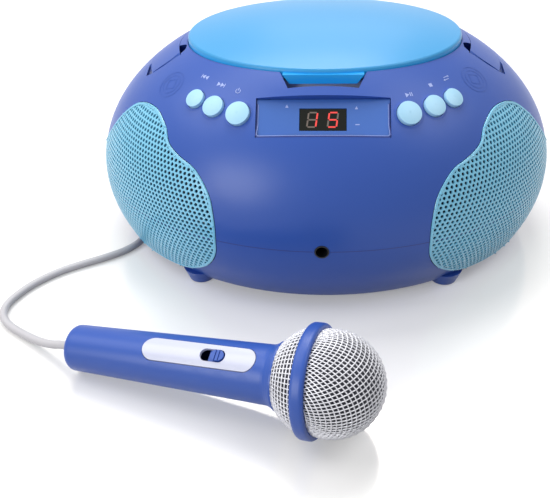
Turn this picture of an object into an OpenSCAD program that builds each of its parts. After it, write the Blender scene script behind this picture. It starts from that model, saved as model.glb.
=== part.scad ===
// Karaoke machine with a top-loading disc lid, two speakers and a wired microphone.
// Millimetres. +X is the listener's right, +Y is the back, +Z is up.
// The origin is the centre of the console's footprint on the table.

/* [Case] */
// Width of the console
case_w = 280; // [272:1:300]
// Depth of the console
case_d = 234; // [230:1:250]
// Height of the parting line between the two case halves
parting_z = 43.5; // [42:0.5:46]
// Height of the upper half's full dome above the parting line
dome_h = 94; // [92:0.5:98]
// Radius of the lower half's side wall in section
bowl_r = 56; // [50:1:60]
// Height of the underside above the table
floor_z = 5; // [4.8:0.1:6]
// Wall thickness of both case halves
wall = 2.4; // [1.8:0.1:2.8]
// Height at which the thick rear shoulder of the upper half starts
shoulder_z = 97; // [96:0.5:99]

/* [Disc lid] */
// Width of the lid
lid_w = 162; // [160:1:164]
// Depth of the lid
lid_d = 127.6; // [127:0.2:129]
// Height of the lid's rim above the case at the lid's sides
lid_proud = 3.4; // [2.5:0.1:4]
// Rise of the lid's dome above its rim
lid_crown = 7.4; // [5:0.2:9]
// Depth of the lid's skirt below the case at the lid's sides
lid_skirt = 1.7; // [1.2:0.1:2]
// Thickness of the lid
lid_wall = 2.2; // [1.6:0.1:2.4]
// Radius along the lid's rim
lid_rim_r = 2; // [1:0.1:2.2]
// Width of the ledge beside the disc deck
ledge_w = 4.4; // [3:0.2:5]
// Half width of the opening tab at its top
tab_top = 21.6; // [18:0.2:23]
// Half width of the opening tab at its bottom
tab_bottom = 18; // [14:0.2:19]
// Height of the opening tab
tab_h = 5; // [4:0.1:5.6]
// Distance the opening tab stands out in front of the lid
tab_out = 1.8; // [1:0.1:2.6]
// Distance the finger notch reaches in front of the lid
notch_reach = 7.7; // [6:0.1:9]
// Slope of the finger notch's floor
notch_slope = 25; // [20:1:27]
// Distance of the hinge axis behind the lid's rear edge
hinge_back = 3.8; // [3.6:0.1:4.4]
// Height of the hinge axis above the lid's underside
hinge_up = 0.4; // [0.3:0.1:0.6]
// Diameter of the lid's hinge pins
hinge_pin_d = 2.4; // [2:0.1:2.8]

/* [Carry handle] */
// Height of the handle's lower edge
handle_z = 106; // [105.5:0.5:107]
// Half width between the handle's arms
handle_inner = 86.5; // [86:0.5:88]
// Distance from the centre to the grip's inner face
grip_inner = 78; // [77:0.5:80]
// Distance of the arms' front ends in front of the centre
handle_front = 21.5; // [19:0.5:24]
// Radius of the arms' front ends round their pivots
handle_end_r = 7.5; // [6.5:0.5:8.5]
// Height of the pivots above the handle's lower edge
handle_pivot_up = 4.5; // [4:0.1:5]
// Wall thickness of the hollow handle
handle_wall = 3; // [2.4:0.1:3.4]
// Diameter of the handle's pins
handle_pin_d = 4; // [3.5:0.1:4.4]

/* [Speakers] */
// Direction in which each speaker faces, from the front toward its side
speaker_turn = 52; // [50:1:54]
// Height of the speaker's centre
speaker_z = 52; // [50:1:54]
// Outer diameter of the speaker's frame
speaker_d = 77; // [70:1:78]
// Distance from the console's centre to the baffle's outer face
baffle_reach = 109; // [107:0.5:110]
// Thickness of the baffle
baffle_t = 2.5; // [2:0.1:3]
// Height by which the grille stands out from the case
grille_proud = 0.5; // [0.2:0.1:1]
// Thickness of the grille
grille_t = 2; // [1.6:0.1:2.4]
// Distance between neighbouring grille holes
grille_pitch = 9.2; // [9:0.1:13]
// Size of a grille hole across its corners
grille_hole_d = 6.8; // [4:0.2:7.2]

/* [Controls] */
// Diameter of the inner button of each group
button_inner_d = 15; // [13:0.2:15.4]
// Diameter of the middle button of each group
button_middle_d = 13.6; // [12:0.2:13.8]
// Diameter of the outer button of each group
button_outer_d = 12.2; // [10:0.2:12.4]
// Height of a button's edge above the case
button_proud = 1.8; // [1.4:0.1:2.6]
// Rise of a button's domed top
button_crown = 0.7; // [0.4:0.1:1.2]
// Depth of a button's rim below the case
button_depth = 3; // [2.8:0.1:3.4]
// Distance a button travels
button_travel = 1; // [0.6:0.1:1.2]
// Radial clearance round a button
button_gap = 0.4; // [0.3:0.1:0.5]
// Width of the display panel
panel_w = 70; // [64:0.5:72]
// Height of the display panel along its slope
panel_h = 21.8; // [20:0.2:23]
// Slope of the display panel from level
panel_tilt = 40.4; // [39:0.2:42]
// Depth of the display panel's face below the case at its sides
panel_sink = 1.8; // [1.4:0.1:2.2]
// Width of the display window
window_w = 24.2; // [22:0.2:26]
// Height of the display window along the slope
window_h = 12.2; // [10:0.2:13]

/* [Disc mechanism] */
// Diameter of the disc well
well_d = 123; // [122:0.5:124]
// Height of the well's floor
well_z = 109; // [108.5:0.1:109.4]
// Thickness of the deck's plates
deck_t = 2; // [1.6:0.1:2.2]
// Height of the disc above the well's floor
disc_lift = 3.2; // [3:0.1:3.6]
// Diameter of the turntable
turntable_d = 29; // [26:0.5:31]
// Diameter of the hub that holds the disc
hub_d = 14.8; // [14.6:0.1:15]
// Height of the chassis plate's underside
chassis_z = 94; // [93.5:0.1:94.4]
// Thickness of the chassis plate
chassis_t = 2; // [1.6:0.1:2.2]
// Distance the optical sled travels
sled_travel = 32; // [26:1:32]
// Half distance between the two guide rods
rod_y = 15; // [14.5:0.1:15.2]
// Diameter of the guide rods
rod_d = 3; // [2.6:0.1:3.2]
// Module of the sled's gears
gear_m = 0.8; // [0.75:0.01:0.82]
// Teeth on the motor pinion
pinion_teeth = 10; // [10:1:12]
// Teeth on the sled gear
sled_gear_teeth = 24; // [22:1:25]
// Thinning of each gear tooth for backlash
backlash = 0.16; // [0.14:0.02:0.24]
// Thickness of the sled gear
gear_t = 3; // [2.6:0.1:3.2]

/* [Feet and battery door] */
// Distance of the feet from the centre to each side
foot_x = 72; // [66:1:76]
// Distance of the front feet in front of the centre
foot_front = 80; // [76:1:82]
// Distance of the rear feet behind the centre
foot_rear = 76; // [74:1:80]
// Diameter of a foot at the table
foot_d = 15; // [13:0.5:16]
// Width of the battery door
door_w = 116; // [110:1:118]
// Depth of the battery door
door_d = 58; // [54:1:60]
// Distance the battery door slides
door_travel = 9; // [6:0.5:9]
// Height of the battery bay
bay_h = 30; // [26:1:32]

/* [Microphone socket] */
// Diameter of the plug that fits the socket
plug_d = 6.35; // [6.3:0.05:6.4]
// Radial play of the plug in its socket
plug_play = 0.1; // [0.06:0.01:0.15]
// Outer diameter of the socket's nose
socket_nose_d = 7.8; // [7.6:0.1:8.4]
// Length of the plug's shaft
plug_len = 30; // [28:0.5:31]

/* [Microphone] */
// Largest diameter of the ring below the microphone's head
ring_d = 54; // [52:0.5:56]
// Width of the ring
ring_w = 11; // [10:0.5:12]
// Diameter of the round mesh head
head_d = 50; // [48:0.5:51]
// Distance of the head's centre in front of the ring
head_reach = 8; // [6:0.5:10]
// Diameter of the handle's tail
tail_d = 23.8; // [22:0.2:25]
// Diameter of the handle just behind its flared neck
grip_d = 28.6; // [27:0.2:30]
// Diameter of the handle's flared neck
neck_d = 33; // [32:0.5:35]
// Distance of the neck behind the ring's middle
neck_back = 16.6; // [15:0.2:18]
// Distance from the ring to the tail
mic_len = 131; // [124:1:136]
// Heading of the microphone, turned from +X toward the front
mic_turn = 16.9; // [10:0.1:20]
// Length of the switch plate
plate_len = 60; // [54:1:64]
// Width of the switch plate
plate_w = 12.2; // [11:0.2:13]
// Distance of the switch plate's front end behind the ring's middle
plate_back = 25; // [24:0.5:28]
// Roll of the switch plate from straight up toward the front
plate_roll = 24; // [15:1:35]
// Distance the microphone's switch travels
switch_travel = 4; // [3:0.5:5]
// Length of the strain relief outside the handle
relief_len = 3; // [2:0.5:5]

/* [Lead] */
// Diameter of the microphone's lead
lead_d = 4.5; // [4.3:0.1:4.5]
// Inner loop radius of the coiled lead, to the lead's centre
coil_r = 17.5; // [17:0.5:19]
// Distance between neighbouring loops of the coil
coil_pitch = 5.5; // [5.5:0.1:5.8]
// Loops in each layer of the coil
coil_loops = 4; // [2:1:5]
// Distance between the coil's two layers
coil_layer = 5.6; // [5.6:0.1:5.8]

/* [Hidden] */
$fn = 120;

case_blue = "#3D5BB0";
lid_blue = "#85D0FB";
tab_blue = "#30B8F2";
button_blue = "#C0E6FA";
grille_blue = "#62B8E4";
dark_plastic = "#24262C";
steel = "#B8BCC4";
board_green = "#2F6B4A";
pale_plastic = "#E6E8F2";
lead_grey = "#D9D8DC";

fit = 0.3;
case_a = case_w / 2;
case_b = case_d / 2;
squash = case_b / case_a;
case_top = parting_z + dome_h;
big = 400;

// Height of the dome above a point of the plan, and the share of the plan left at a height.
function dome_z(x, y) = parting_z + dome_h * sqrt(1 - pow(x / case_a, 2) - pow(y / case_b, 2));
function dome_share(z) = sqrt(1 - pow((z - parting_z) / dome_h, 2));
// Point of the dome at a turn from the front and a climb, and the outward normal there.
function dome_point(turn, climb) = [
    case_a * cos(climb) * sin(turn),
    -case_b * cos(climb) * cos(turn),
    parting_z + dome_h * sin(climb)
];
function dome_normal(turn, climb) =
    let (n = [cos(climb) * sin(turn) / case_a, -cos(climb) * cos(turn) / case_b, sin(climb) / dome_h])
    n / norm(n);

// Ellipsoid of the upper half, shrunk by an amount on every axis.
module dome(shrink = 0) {
    translate([0, 0, parting_z])
        scale([case_a - shrink, case_b - shrink, dome_h - shrink])
            sphere(r = 1);
}

// Half section of the lower half, shrunk by an amount.
module bowl_profile(shrink) {
    intersection() {
        union() {
            translate([case_a - bowl_r, parting_z])
                circle(r = bowl_r - shrink);
            translate([0, floor_z + shrink])
                square([case_a - bowl_r, parting_z - floor_z - shrink]);
        }
        translate([0, floor_z + shrink])
            square([case_a, parting_z - floor_z - shrink]);
    }
}

// Solid bowl of the lower half, turned in four quarters and pressed oval.
module bowl(shrink = 0) {
    for (quarter = [0:3])
        scale([1, squash, 1])
            rotate([0, 0, 90 * quarter])
                rotate_extrude(angle = 90)
                    bowl_profile(shrink);
}

// Upright cylinder with an oval plan.
module oval(rx, ry, z0, z1) {
    translate([0, 0, z0])
        linear_extrude(height = z1 - z0)
            scale([rx, ry])
                circle(r = 1);
}

// Block given by its least and greatest corner.
module block(low, high) {
    translate(low)
        cube(high - low);
}

// Places its children for one side of the console: 1 is the right and -1 is the left.
module sided(side) {
    mirror([side < 0 ? 1 : 0, 0, 0])
        children();
}

// Point of a closed smooth curve through p1 and p2, between them by the share t.
function curve_point(p0, p1, p2, p3, t) = 0.5 * (
    2 * p1 + (p2 - p0) * t + (2 * p0 - 5 * p1 + 4 * p2 - p3) * t * t
    + (3 * p1 - p0 - 3 * p2 + p3) * t * t * t
);
function smooth_loop(points, steps) =
    let (n = len(points))
    [for (i = [0:n - 1]) for (k = [0:steps - 1])
        curve_point(points[(i + n - 1) % n], points[i], points[(i + 1) % n], points[(i + 2) % n],
            k / steps)];

// ---- Grille outline: distance toward the back and height, seen along the speaker's axis.

grille_points = [
    [15, 98.4], [0, 93.8], [-8.5, 87.4], [-18.5, 83.5], [-31, 79.4], [-42, 69.5], [-47, 58],
    [-48.6, 46], [-47, 33], [-38, 21.2], [-21, 12.6], [5, 10], [35, 10.5], [60, 15],
    [78, 27], [86, 42], [80, 54], [67, 63.5], [56, 74], [46, 86], [33, 96]
];
grille_centre = [16, 52];
grille_depth = [62, 160];

// Outline moved inward by about the given distance.
function grille_outline(inset) = smooth_loop([
    for (p = grille_points) p + (grille_centre - p) * inset / norm(grille_centre - p)
], 3);

// Prism of the outline along the speaker's axis.
module grille_prism(inset = 0) {
    rotate([90, 0, speaker_turn])
        translate([0, 0, grille_depth[0]])
            linear_extrude(height = grille_depth[1] - grille_depth[0])
                polygon(grille_outline(inset));
}

// ---- Lid and finger notch.

lid_rx = lid_w / 2;
lid_ry = lid_d / 2;
lid_edge_z = dome_z(lid_rx, 0);
lid_base_z = lid_edge_z - lid_skirt;
rim_top_z = lid_edge_z + lid_proud;
lid_top_z = rim_top_z + lid_crown;
lid_curve = (lid_rx * lid_rx + lid_crown * lid_crown) / (2 * lid_crown);
lid_gap = 0.5;
ledge_z = lid_base_z - lid_gap;
ledge_base_z = ledge_z - 6;
deck_rx = lid_rx - ledge_w;
deck_ry = well_d / 2 + 1.2;
collar_w = 3;
notch_y = -lid_ry - notch_reach;
notch_z = dome_z(tab_bottom, notch_y) - 0.2;
hinge_y = lid_ry + hinge_back;
hinge_z = lid_base_z + hinge_up;
swing_room = 1.4;
knuckle_r = 2.8;
knuckle_x = [8, 20];
lug_w = 4;

// Half section of the lid with a crowned top and a rounded rim, shrunk by an amount.
module lid_profile(shrink = 0) {
    corner_x = lid_rx - lid_rim_r;
    corner_z = lid_top_z - lid_curve + sqrt(lid_curve * lid_curve - corner_x * corner_x) - lid_rim_r;
    corner_r = lid_rim_r - shrink;
    intersection() {
        translate([0, lid_top_z - lid_curve])
            circle(r = lid_curve - shrink, $fn = 1440);
        union() {
            translate([0, lid_base_z - 1])
                square([corner_x, lid_top_z]);
            translate([0, lid_base_z - 1])
                square([lid_rx - shrink, corner_z - lid_base_z + 1]);
            if (corner_r > 0)
                translate([corner_x, corner_z])
                    circle(r = corner_r);
        }
        translate([0, lid_base_z - (shrink > 0 ? 1 : 0)])
            square([lid_rx, lid_top_z]);
    }
}

module cd_lid() {
    color(lid_blue)
        scale([1, lid_ry / lid_rx, 1])
            for (quarter = [0:3])
                rotate([0, 0, 90 * quarter])
                    rotate_extrude(angle = 90, $fn = 240)
                        difference() {
                            lid_profile();
                            lid_profile(lid_wall);
                        }
    color(tab_blue)
        opening_tab();
    color(lid_blue)
        for (side = [-1, 1])
            sided(side)
                hinge_knuckle();
}

// Tab on the lid's front rim that a finger lifts.
module opening_tab() {
    top = rim_top_z - lid_rim_r + 0.2;
    difference() {
        translate([0, -lid_ry + lid_wall + 2.4, 0])
            rotate([90, 0, 0])
                linear_extrude(height = lid_wall + 2.4 + tab_out)
                    polygon([
                        [-tab_top, top], [tab_top, top],
                        [tab_bottom, top - tab_h], [-tab_bottom, top - tab_h]
                    ]);
        oval(lid_rx - lid_wall + 0.1, lid_ry - lid_wall * lid_ry / lid_rx + 0.1,
            lid_base_z - 0.1, top + 1);
        oval(deck_rx + 0.8, deck_ry + 0.8, top - tab_h - 1, lid_base_z);
    }
}

// Arm and knuckle that swing the lid on its hinge pin.
module hinge_knuckle() {
    arm_y = sqrt(1 - pow(knuckle_x[1] / lid_rx, 2)) * lid_ry - lid_wall;
    difference() {
        union() {
            translate([knuckle_x[0], hinge_y, hinge_z])
                rotate([0, 90, 0])
                    cylinder(r = knuckle_r, h = knuckle_x[1] - knuckle_x[0]);
            block([knuckle_x[0], arm_y, lid_base_z], [knuckle_x[1], hinge_y, lid_base_z + 2.6]);
        }
        translate([knuckle_x[0] - 1, hinge_y, hinge_z])
            rotate([0, 90, 0])
                cylinder(d = hinge_pin_d + 0.3, h = knuckle_x[1] - knuckle_x[0] + 2);
    }
}

module lid_hinge_pins() {
    color(steel)
        for (side = [-1, 1])
            sided(side)
                translate([knuckle_x[0] - lug_w, hinge_y, hinge_z])
                    rotate([0, 90, 0])
                        cylinder(d = hinge_pin_d, h = knuckle_x[1] - knuckle_x[0] + 2 * lug_w);
}

// Trapezoid notch in front of the lid. Its floor slopes down toward the lid.
module finger_notch() {
    intersection() {
        translate([0, 0, notch_z - 12])
            linear_extrude(height = 40)
                polygon([
                    [-tab_top - 2.8, -deck_ry + 4], [tab_top + 2.8, -deck_ry + 4],
                    [tab_bottom + 0.7, notch_y], [-tab_bottom - 0.7, notch_y]
                ]);
        translate([0, notch_y, notch_z])
            rotate([-notch_slope, 0, 0])
                block([-big, -20, 0], [big, 60, 60]);
    }
}

// ---- Carry handle.

pivot_y = -handle_front + handle_end_r;
pivot_z = handle_z + handle_pivot_up;
pin_x = [handle_inner - 5, handle_inner + 5];

// Space between the handle's inner oval and the case's skin, grown by a clearance.
module handle_band(grow = 0) {
    difference() {
        intersection() {
            dome(grow > 0 ? -1 : 0);
            block([-big, -handle_front - grow, handle_z - grow], [big, big, case_top]);
        }
        oval(handle_inner - grow, grip_inner - grow, handle_z - 5, case_top + 5);
    }
}

module carry_handle() {
    hollow = handle_wall;
    color(case_blue)
        difference() {
            handle_band();
            // The upper front corner of each arm is rounded round its pivot.
            difference() {
                block([-big, -handle_front - 1, pivot_z], [big, pivot_y, case_top]);
                translate([-big / 2, pivot_y, pivot_z])
                    rotate([0, 90, 0])
                        cylinder(r = handle_end_r, h = big);
            }
            // Hollow underside of the grip and the arms.
            difference() {
                intersection() {
                    dome(hollow);
                    block([-big, pivot_y + 11, handle_z - 1], [big, big, case_top]);
                }
                oval(handle_inner + hollow, grip_inner + hollow, handle_z - 5, case_top);
            }
            handle_pin_holes(0.15);
        }
}

module handle_pin_holes(gap) {
    for (side = [-1, 1])
        sided(side)
            translate([pin_x[0] - 1, pivot_y, pivot_z])
                rotate([0, 90, 0])
                    cylinder(r = handle_pin_d / 2 + gap, h = pin_x[1] - pin_x[0] + 1);
}

module handle_pins() {
    color(steel)
        for (side = [-1, 1])
            sided(side)
                translate([pin_x[0], pivot_y, pivot_z])
                    rotate([0, 90, 0])
                        cylinder(d = handle_pin_d, h = pin_x[1] - pin_x[0] - fit);
}

// ---- Buttons.

// Turn from the front and climb of each button on the right, from the centre outward.
button_places = [[25.2, 41.4], [34.2, 42], [42.2, 42.7]];
button_d = [button_inner_d, button_middle_d, button_outer_d];
stem_d = 5;
stem_len = 9;
board_drop = 16;

// Frame with its origin on the case's surface and +Z along the outward normal.
module at_button(index, side) {
    place = button_places[index];
    n = dome_normal(place[0], place[1]);
    sided(side)
        translate(dome_point(place[0], place[1]))
            rotate([0, acos(n[2]), atan2(n[1], n[0])])
                children();
}

module button(index, side) {
    d = button_d[index];
    crown_r = (d * d / 4 + button_crown * button_crown) / (2 * button_crown);
    color(button_blue)
        at_button(index, side) {
            translate([0, 0, -button_depth])
                cylinder(d = d, h = button_proud + button_depth);
            intersection() {
                translate([0, 0, button_proud + button_crown - crown_r])
                    sphere(r = crown_r, $fn = 240);
                translate([0, 0, button_proud - 0.01])
                    cylinder(d = d, h = button_crown + 1);
            }
            translate([0, 0, -stem_len])
                cylinder(d = stem_d, h = stem_len - button_depth + 0.01);
        }
}

// Board below one group of buttons, with a switch under each stem.
module control_board(side) {
    middle = button_places[1];
    color(board_green)
        at_button(1, side)
            block([-11, -27, -board_drop - 1.6], [11, 27, -board_drop]);
    color(dark_plastic)
        for (index = [0:2])
            at_button(index, side)
                block([-3, -3, -board_drop - 0.5], [3, 3, -stem_len - button_travel - fit]);
}

// ---- Display.

panel_y = -82.9;
panel_z = dome_z(panel_w / 2, panel_y);
panel_back = 8;
panel_frame = 1.6;
window_drop = 0.6;

// Frame with its origin at the middle of the panel's sides on the case, +Z outward.
module at_panel() {
    translate([0, panel_y, panel_z])
        rotate([panel_tilt, 0, 0])
            children();
}

// Block on the panel's middle, or on the window's, given by its size and its two heights.
module panel_block(size, z0, z1, drop = 0) {
    block([-size[0] / 2, -size[1] / 2 - drop, z0], [size[0] / 2, size[1] / 2 - drop, z1]);
}

module display_panel() {
    frame = [panel_w - 2 * panel_frame, panel_h - 2 * panel_frame];
    window = [window_w + 2 * fit, window_h + 2 * fit];
    color(case_blue)
        at_panel()
            difference() {
                panel_block([panel_w, panel_h], -panel_back, -panel_sink);
                panel_block(window, -30, 10, window_drop);
                difference() {
                    panel_block(frame, -panel_back - 1, -panel_sink - 1.8);
                    panel_block(window + [3, 3], -30, 10, window_drop);
                }
            }
}

module display_window() {
    color("#1A1C1A")
        at_panel()
            panel_block([window_w, window_h], -panel_sink - 1.8, -panel_sink - 0.3, window_drop);
}

// Two-digit display block on its own small board.
module display_module() {
    at_panel() {
        color(dark_plastic)
            panel_block([window_w - 1, window_h - 0.6], -panel_back - 1.8, -panel_sink - 2.1,
                window_drop);
        color(board_green)
            panel_block([window_w + 16, panel_h - 2], -panel_back - 3.4, -panel_back - 1.79);
    }
}

// ---- Microphone socket on the parting plane.

socket_body = [15, 30, 15];

module mic_socket() {
    nose_face = -case_b - 0.2;
    color(dark_plastic)
        difference() {
            union() {
                translate([0, nose_face + 6, parting_z])
                    rotate([90, 0, 0])
                        cylinder(d = socket_nose_d, h = 6);
                translate([-socket_body[0] / 2, -case_b + wall + 0.8, parting_z - socket_body[2] / 2])
                    cube(socket_body);
            }
            translate([0, -case_b + wall + socket_body[1] - 1, parting_z])
                rotate([90, 0, 0])
                    cylinder(r = plug_d / 2 + plug_play, h = socket_body[1] + 6);
        }
}

module socket_hole() {
    translate([0, -case_b + 12, parting_z])
        rotate([90, 0, 0])
            cylinder(r = socket_nose_d / 2 + 0.15, h = 20);
}

// ---- Case halves.

boss_places = [[34, -92], [114, 20], [58, 84], [-34, -92], [-114, 20], [-58, 84]];
boss_r = 4.2;
screw_r = 1.5;

module top_case() {
    color(case_blue)
        difference() {
            union() {
                difference() {
                    intersection() {
                        dome();
                        block([-big, -big, parting_z], [big, big, case_top]);
                    }
                    upper_cavity();
                }
                hinge_lugs();
                for (p = boss_places)
                    intersection() {
                        dome(1);
                        translate([p[0], p[1], parting_z])
                            cylinder(r = boss_r, h = dome_z(p[0], p[1]) - parting_z);
                    }
            }
            for (y = [0, swing_room])
                translate([0, y, 0])
                    oval(lid_rx + lid_gap, lid_ry + lid_gap, ledge_z, case_top + 5);
            oval(deck_rx, deck_ry, shoulder_z - 5, case_top + 5);
            oval(flange_rx + fit, flange_ry + fit, shoulder_z - 5, ledge_base_z);
            handle_band(fit);
            handle_swing();
            hinge_pockets();
            finger_notch();
            handle_pin_holes(0);
            at_panel()
                panel_block([panel_w + 2 * fit, panel_h + 2 * fit], -panel_back - 6, 30);
            for (side = [-1, 1])
                for (index = [0:2])
                    at_button(index, side)
                        translate([0, 0, -12])
                            cylinder(r = button_d[index] / 2 + button_gap, h = 24);
            for (side = [-1, 1])
                sided(side)
                    grille_prism();
            socket_hole();
            for (p = boss_places)
                translate([p[0], p[1], parting_z - 1])
                    cylinder(r = screw_r, h = 12);
        }
}

// Hollow of the upper half. The shoulder that carries the lid and the handle stays solid.
module upper_cavity() {
    intersection() {
        dome(wall);
        union() {
            block([-big, -big, parting_z - 1], [big, big, shoulder_z]);
            difference() {
                block([-big, -big, shoulder_z - 1], [big, -handle_front - wall, case_top]);
                oval(lid_rx + collar_w, lid_ry + collar_w, ledge_base_z, case_top);
                block([-tab_top - 6, notch_y - 3, notch_z - 8], [tab_top + 6, -deck_ry - 1, case_top]);
            }
        }
    }
}

// Pocket in which the lower corner of each arm turns.
module handle_swing() {
    reach = norm([handle_end_r, pivot_z - handle_z]) + 0.5;
    for (side = [-1, 1])
        sided(side)
            translate([handle_inner - 6, pivot_y, pivot_z])
                rotate([0, 90, 0])
                    cylinder(r = reach, h = case_a * dome_share(handle_z) - handle_inner + 7);
}

// Lugs that carry the lid's pins, standing just above the case on each side of a knuckle.
module hinge_lugs() {
    for (side = [-1, 1])
        sided(side)
            for (x = [knuckle_x[0] - lug_w - fit, knuckle_x[1] + fit]) {
                translate([x, hinge_y, hinge_z])
                    rotate([0, 90, 0])
                        cylinder(r = knuckle_r, h = lug_w);
                block([x, hinge_y - knuckle_r, ledge_base_z + 1], [x + lug_w, hinge_y + knuckle_r, hinge_z]);
            }
}

// Pockets for the lid's knuckles, and the holes for its pins.
module hinge_pockets() {
    for (side = [-1, 1])
        sided(side) {
            block([knuckle_x[0] - fit, lid_ry - 1, hinge_z - knuckle_r - fit],
                [knuckle_x[1] + fit, hinge_y + knuckle_r + fit, case_top]);
            translate([knuckle_x[0] - lug_w, hinge_y, hinge_z])
                rotate([0, 90, 0])
                    cylinder(d = hinge_pin_d, h = knuckle_x[1] - knuckle_x[0] + 2 * lug_w);
        }
}

bay_y = [-2, -2 + door_d];
door_t = 2;

module bottom_case() {
    color(case_blue)
        difference() {
            union() {
                difference() {
                    bowl();
                    bowl(wall);
                }
                for (p = boss_places)
                    intersection() {
                        bowl(1);
                        translate([p[0], p[1], floor_z + 1])
                            cylinder(r = boss_r, h = parting_z - floor_z - 1);
                    }
                case_legs();
                battery_bay();
            }
            for (side = [-1, 1])
                sided(side)
                    grille_prism();
            socket_hole();
            door_opening();
            inlet_hole();
            for (p = boss_places) {
                translate([p[0], p[1], floor_z - 1])
                    cylinder(r = screw_r, h = parting_z);
                translate([p[0], p[1], floor_z - 1])
                    cylinder(r = 3, h = 14);
            }
            foot_places()
                translate([0, 0, -1])
                    cylinder(d = foot_d - 5, h = 2.5);
        }
}

module foot_places() {
    for (side = [-1, 1])
        for (y = [-foot_front, foot_rear])
            translate([side * foot_x, y, 0])
                children();
}

// Four moulded legs that taper toward the table.
module case_legs() {
    foot_places()
        translate([0, 0, 0.6])
            cylinder(d1 = foot_d, d2 = foot_d + 6, h = floor_z + 3);
}

module rubber_feet() {
    color(dark_plastic)
        foot_places()
            cylinder(d = foot_d - 5.4, h = 1.4);
}

// Walls of the battery bay above the floor.
module battery_bay() {
    w = door_w - 8;
    difference() {
        block([-w / 2 - 2, bay_y[0], floor_z + 1], [w / 2 + 2, bay_y[1], floor_z + bay_h]);
        block([-w / 2, bay_y[0] + 2, floor_z - 1], [w / 2, bay_y[1] - 2, floor_z + bay_h - 2]);
        for (x = [-w / 4, 0, w / 4])
            block([x - 2, bay_y[0] + 8, floor_z + bay_h - 5], [x + 2, bay_y[1] - 8, floor_z + bay_h + 1]);
    }
}

// Recess for the door, with room to slide, and the opening into the bay.
module door_opening() {
    block([-door_w / 2 - fit, bay_y[0] - fit, floor_z - 1],
        [door_w / 2 + fit, bay_y[1] + door_travel + fit, floor_z + door_t + 0.05]);
    block([-door_w / 2 + 4, bay_y[0] + 2, floor_z - 1],
        [door_w / 2 - 4, bay_y[1] - 2, floor_z + bay_h - 2]);
}

module battery_door() {
    color(case_blue)
        difference() {
            block([-door_w / 2, bay_y[0], floor_z], [door_w / 2, bay_y[1], floor_z + door_t - 0.25]);
            for (k = [0:4])
                block([-12 + k, bay_y[0] + 6 + 3 * k, floor_z - 1],
                    [12 - k, bay_y[0] + 7.4 + 3 * k, floor_z + 0.6]);
        }
}

// Contact plates at both ends of the bay, each with two springs.
module battery_contacts() {
    w = door_w - 8;
    color(steel)
        for (side = [-1, 1])
            sided(side) {
                block([w / 2 - 0.8, bay_y[0] + 4, floor_z + 5], [w / 2 - 0.1, bay_y[1] - 4, floor_z + 24]);
                for (y = [bay_y[0] + 17, bay_y[1] - 17])
                    for (k = [0:3])
                        translate([w / 2 - 0.8 - 1.6 * k, y, floor_z + 14])
                            rotate([0, -90, 0])
                                cylinder(r1 = 6 - k, r2 = 5 - k, h = 1.61);
            }
}

// ---- Power inlet in the rear of the lower half.

inlet_x = -30;
inlet_z = 24;
inlet_size = [20, 16, 13];
inlet_face = case_b * 0.957 * sqrt(1 - pow((abs(inlet_x) + 10) / (case_a * 0.957), 2)) - 0.6;

module inlet_hole() {
    block([inlet_x - inlet_size[0] / 2, inlet_face - 16, inlet_z - inlet_size[2] / 2],
        [inlet_x + inlet_size[0] / 2, big, inlet_z + inlet_size[2] / 2]);
}

// Two-pin inlet with a recess in the outline of a figure of eight.
module power_inlet() {
    half = [inlet_size[0] / 2 - fit, inlet_size[2] / 2 - fit];
    color(dark_plastic)
        difference() {
            translate([inlet_x, 0, inlet_z])
                block([-half[0], inlet_face - 14, -half[1]], [half[0], inlet_face + 2, half[1]]);
            translate([inlet_x, inlet_face - 10, inlet_z])
                rotate([-90, 0, 0])
                    linear_extrude(height = 20)
                        union() {
                            for (side = [-1, 1])
                                translate([side * 3.2, 0])
                                    circle(r = 3.6);
                            square([6.4, 7.2], center = true);
                        }
        }
    color(steel)
        for (side = [-1, 1])
            translate([inlet_x + side * 3.2, inlet_face - 10.5, inlet_z])
                rotate([-90, 0, 0])
                    cylinder(r = 1.2, h = 7.5);
}

// ---- Boards and transformer on the floor.

floor_top = floor_z + wall;

transformer_x = 14;

module transformer() {
    color(steel)
        translate([transformer_x, 84, floor_top + 0.3]) {
            block([-22, -17, 0], [22, 11, 2]);
            block([-17, -14, 2], [17, 8, 32]);
        }
    color("#C88A3C")
        translate([transformer_x, 81, floor_top + 18.3])
            difference() {
                block([-12.5, -18, -11], [12.5, 13, 11]);
                block([-9, -30, -7.5], [9, 30, 7.5]);
            }
}

// Board on four posts, with its larger components.
module main_board() {
    z = floor_top + 6;
    color(board_green)
        block([-62, -78, z], [62, -24, z + 1.6]);
    color(pale_plastic)
        for (x = [-56, 56])
            for (y = [-72, -30])
                translate([x, y, floor_top + 0.2])
                    cylinder(r = 3, h = 5.81);
    color(dark_plastic) {
        block([-20, -60, z + 1.59], [-4, -44, z + 4]);
        block([10, -66, z + 1.59], [28, -58, z + 3.6]);
        for (x = [-52, -40, -28])
            translate([x, -34, z + 1.59])
                cylinder(r = 4.6, h = 13);
    }
    color(steel)
        for (k = [0:5])
            block([34 + 4 * k, -72, z + 1.59], [35.4 + 4 * k, -46, z + 20]);
    color(steel)
        block([34, -72, z + 1.59], [55.4, -46, z + 4]);
}

module case_screws() {
    color(steel)
        for (p = boss_places)
            translate([p[0], p[1], 0]) {
                translate([0, 0, floor_z + 13])
                    cylinder(r = screw_r, h = parting_z - floor_z - 4);
                translate([0, 0, floor_z + 10.8])
                    cylinder(r = 2.8, h = 2.2);
            }
}

// ---- Speakers, grilles and baffles.

cone_d = speaker_d - 13;
magnet_d = 40;
basket_depth = 24;
magnet_h = 10;

// Frame with +Z along the speaker's axis and its origin on the baffle's outer face.
module at_speaker(side) {
    sided(side)
        rotate([0, 0, speaker_turn])
            translate([grille_centre[0] - 8, -baffle_reach, speaker_z])
                rotate([90, 0, 0])
                    children();
}

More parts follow.
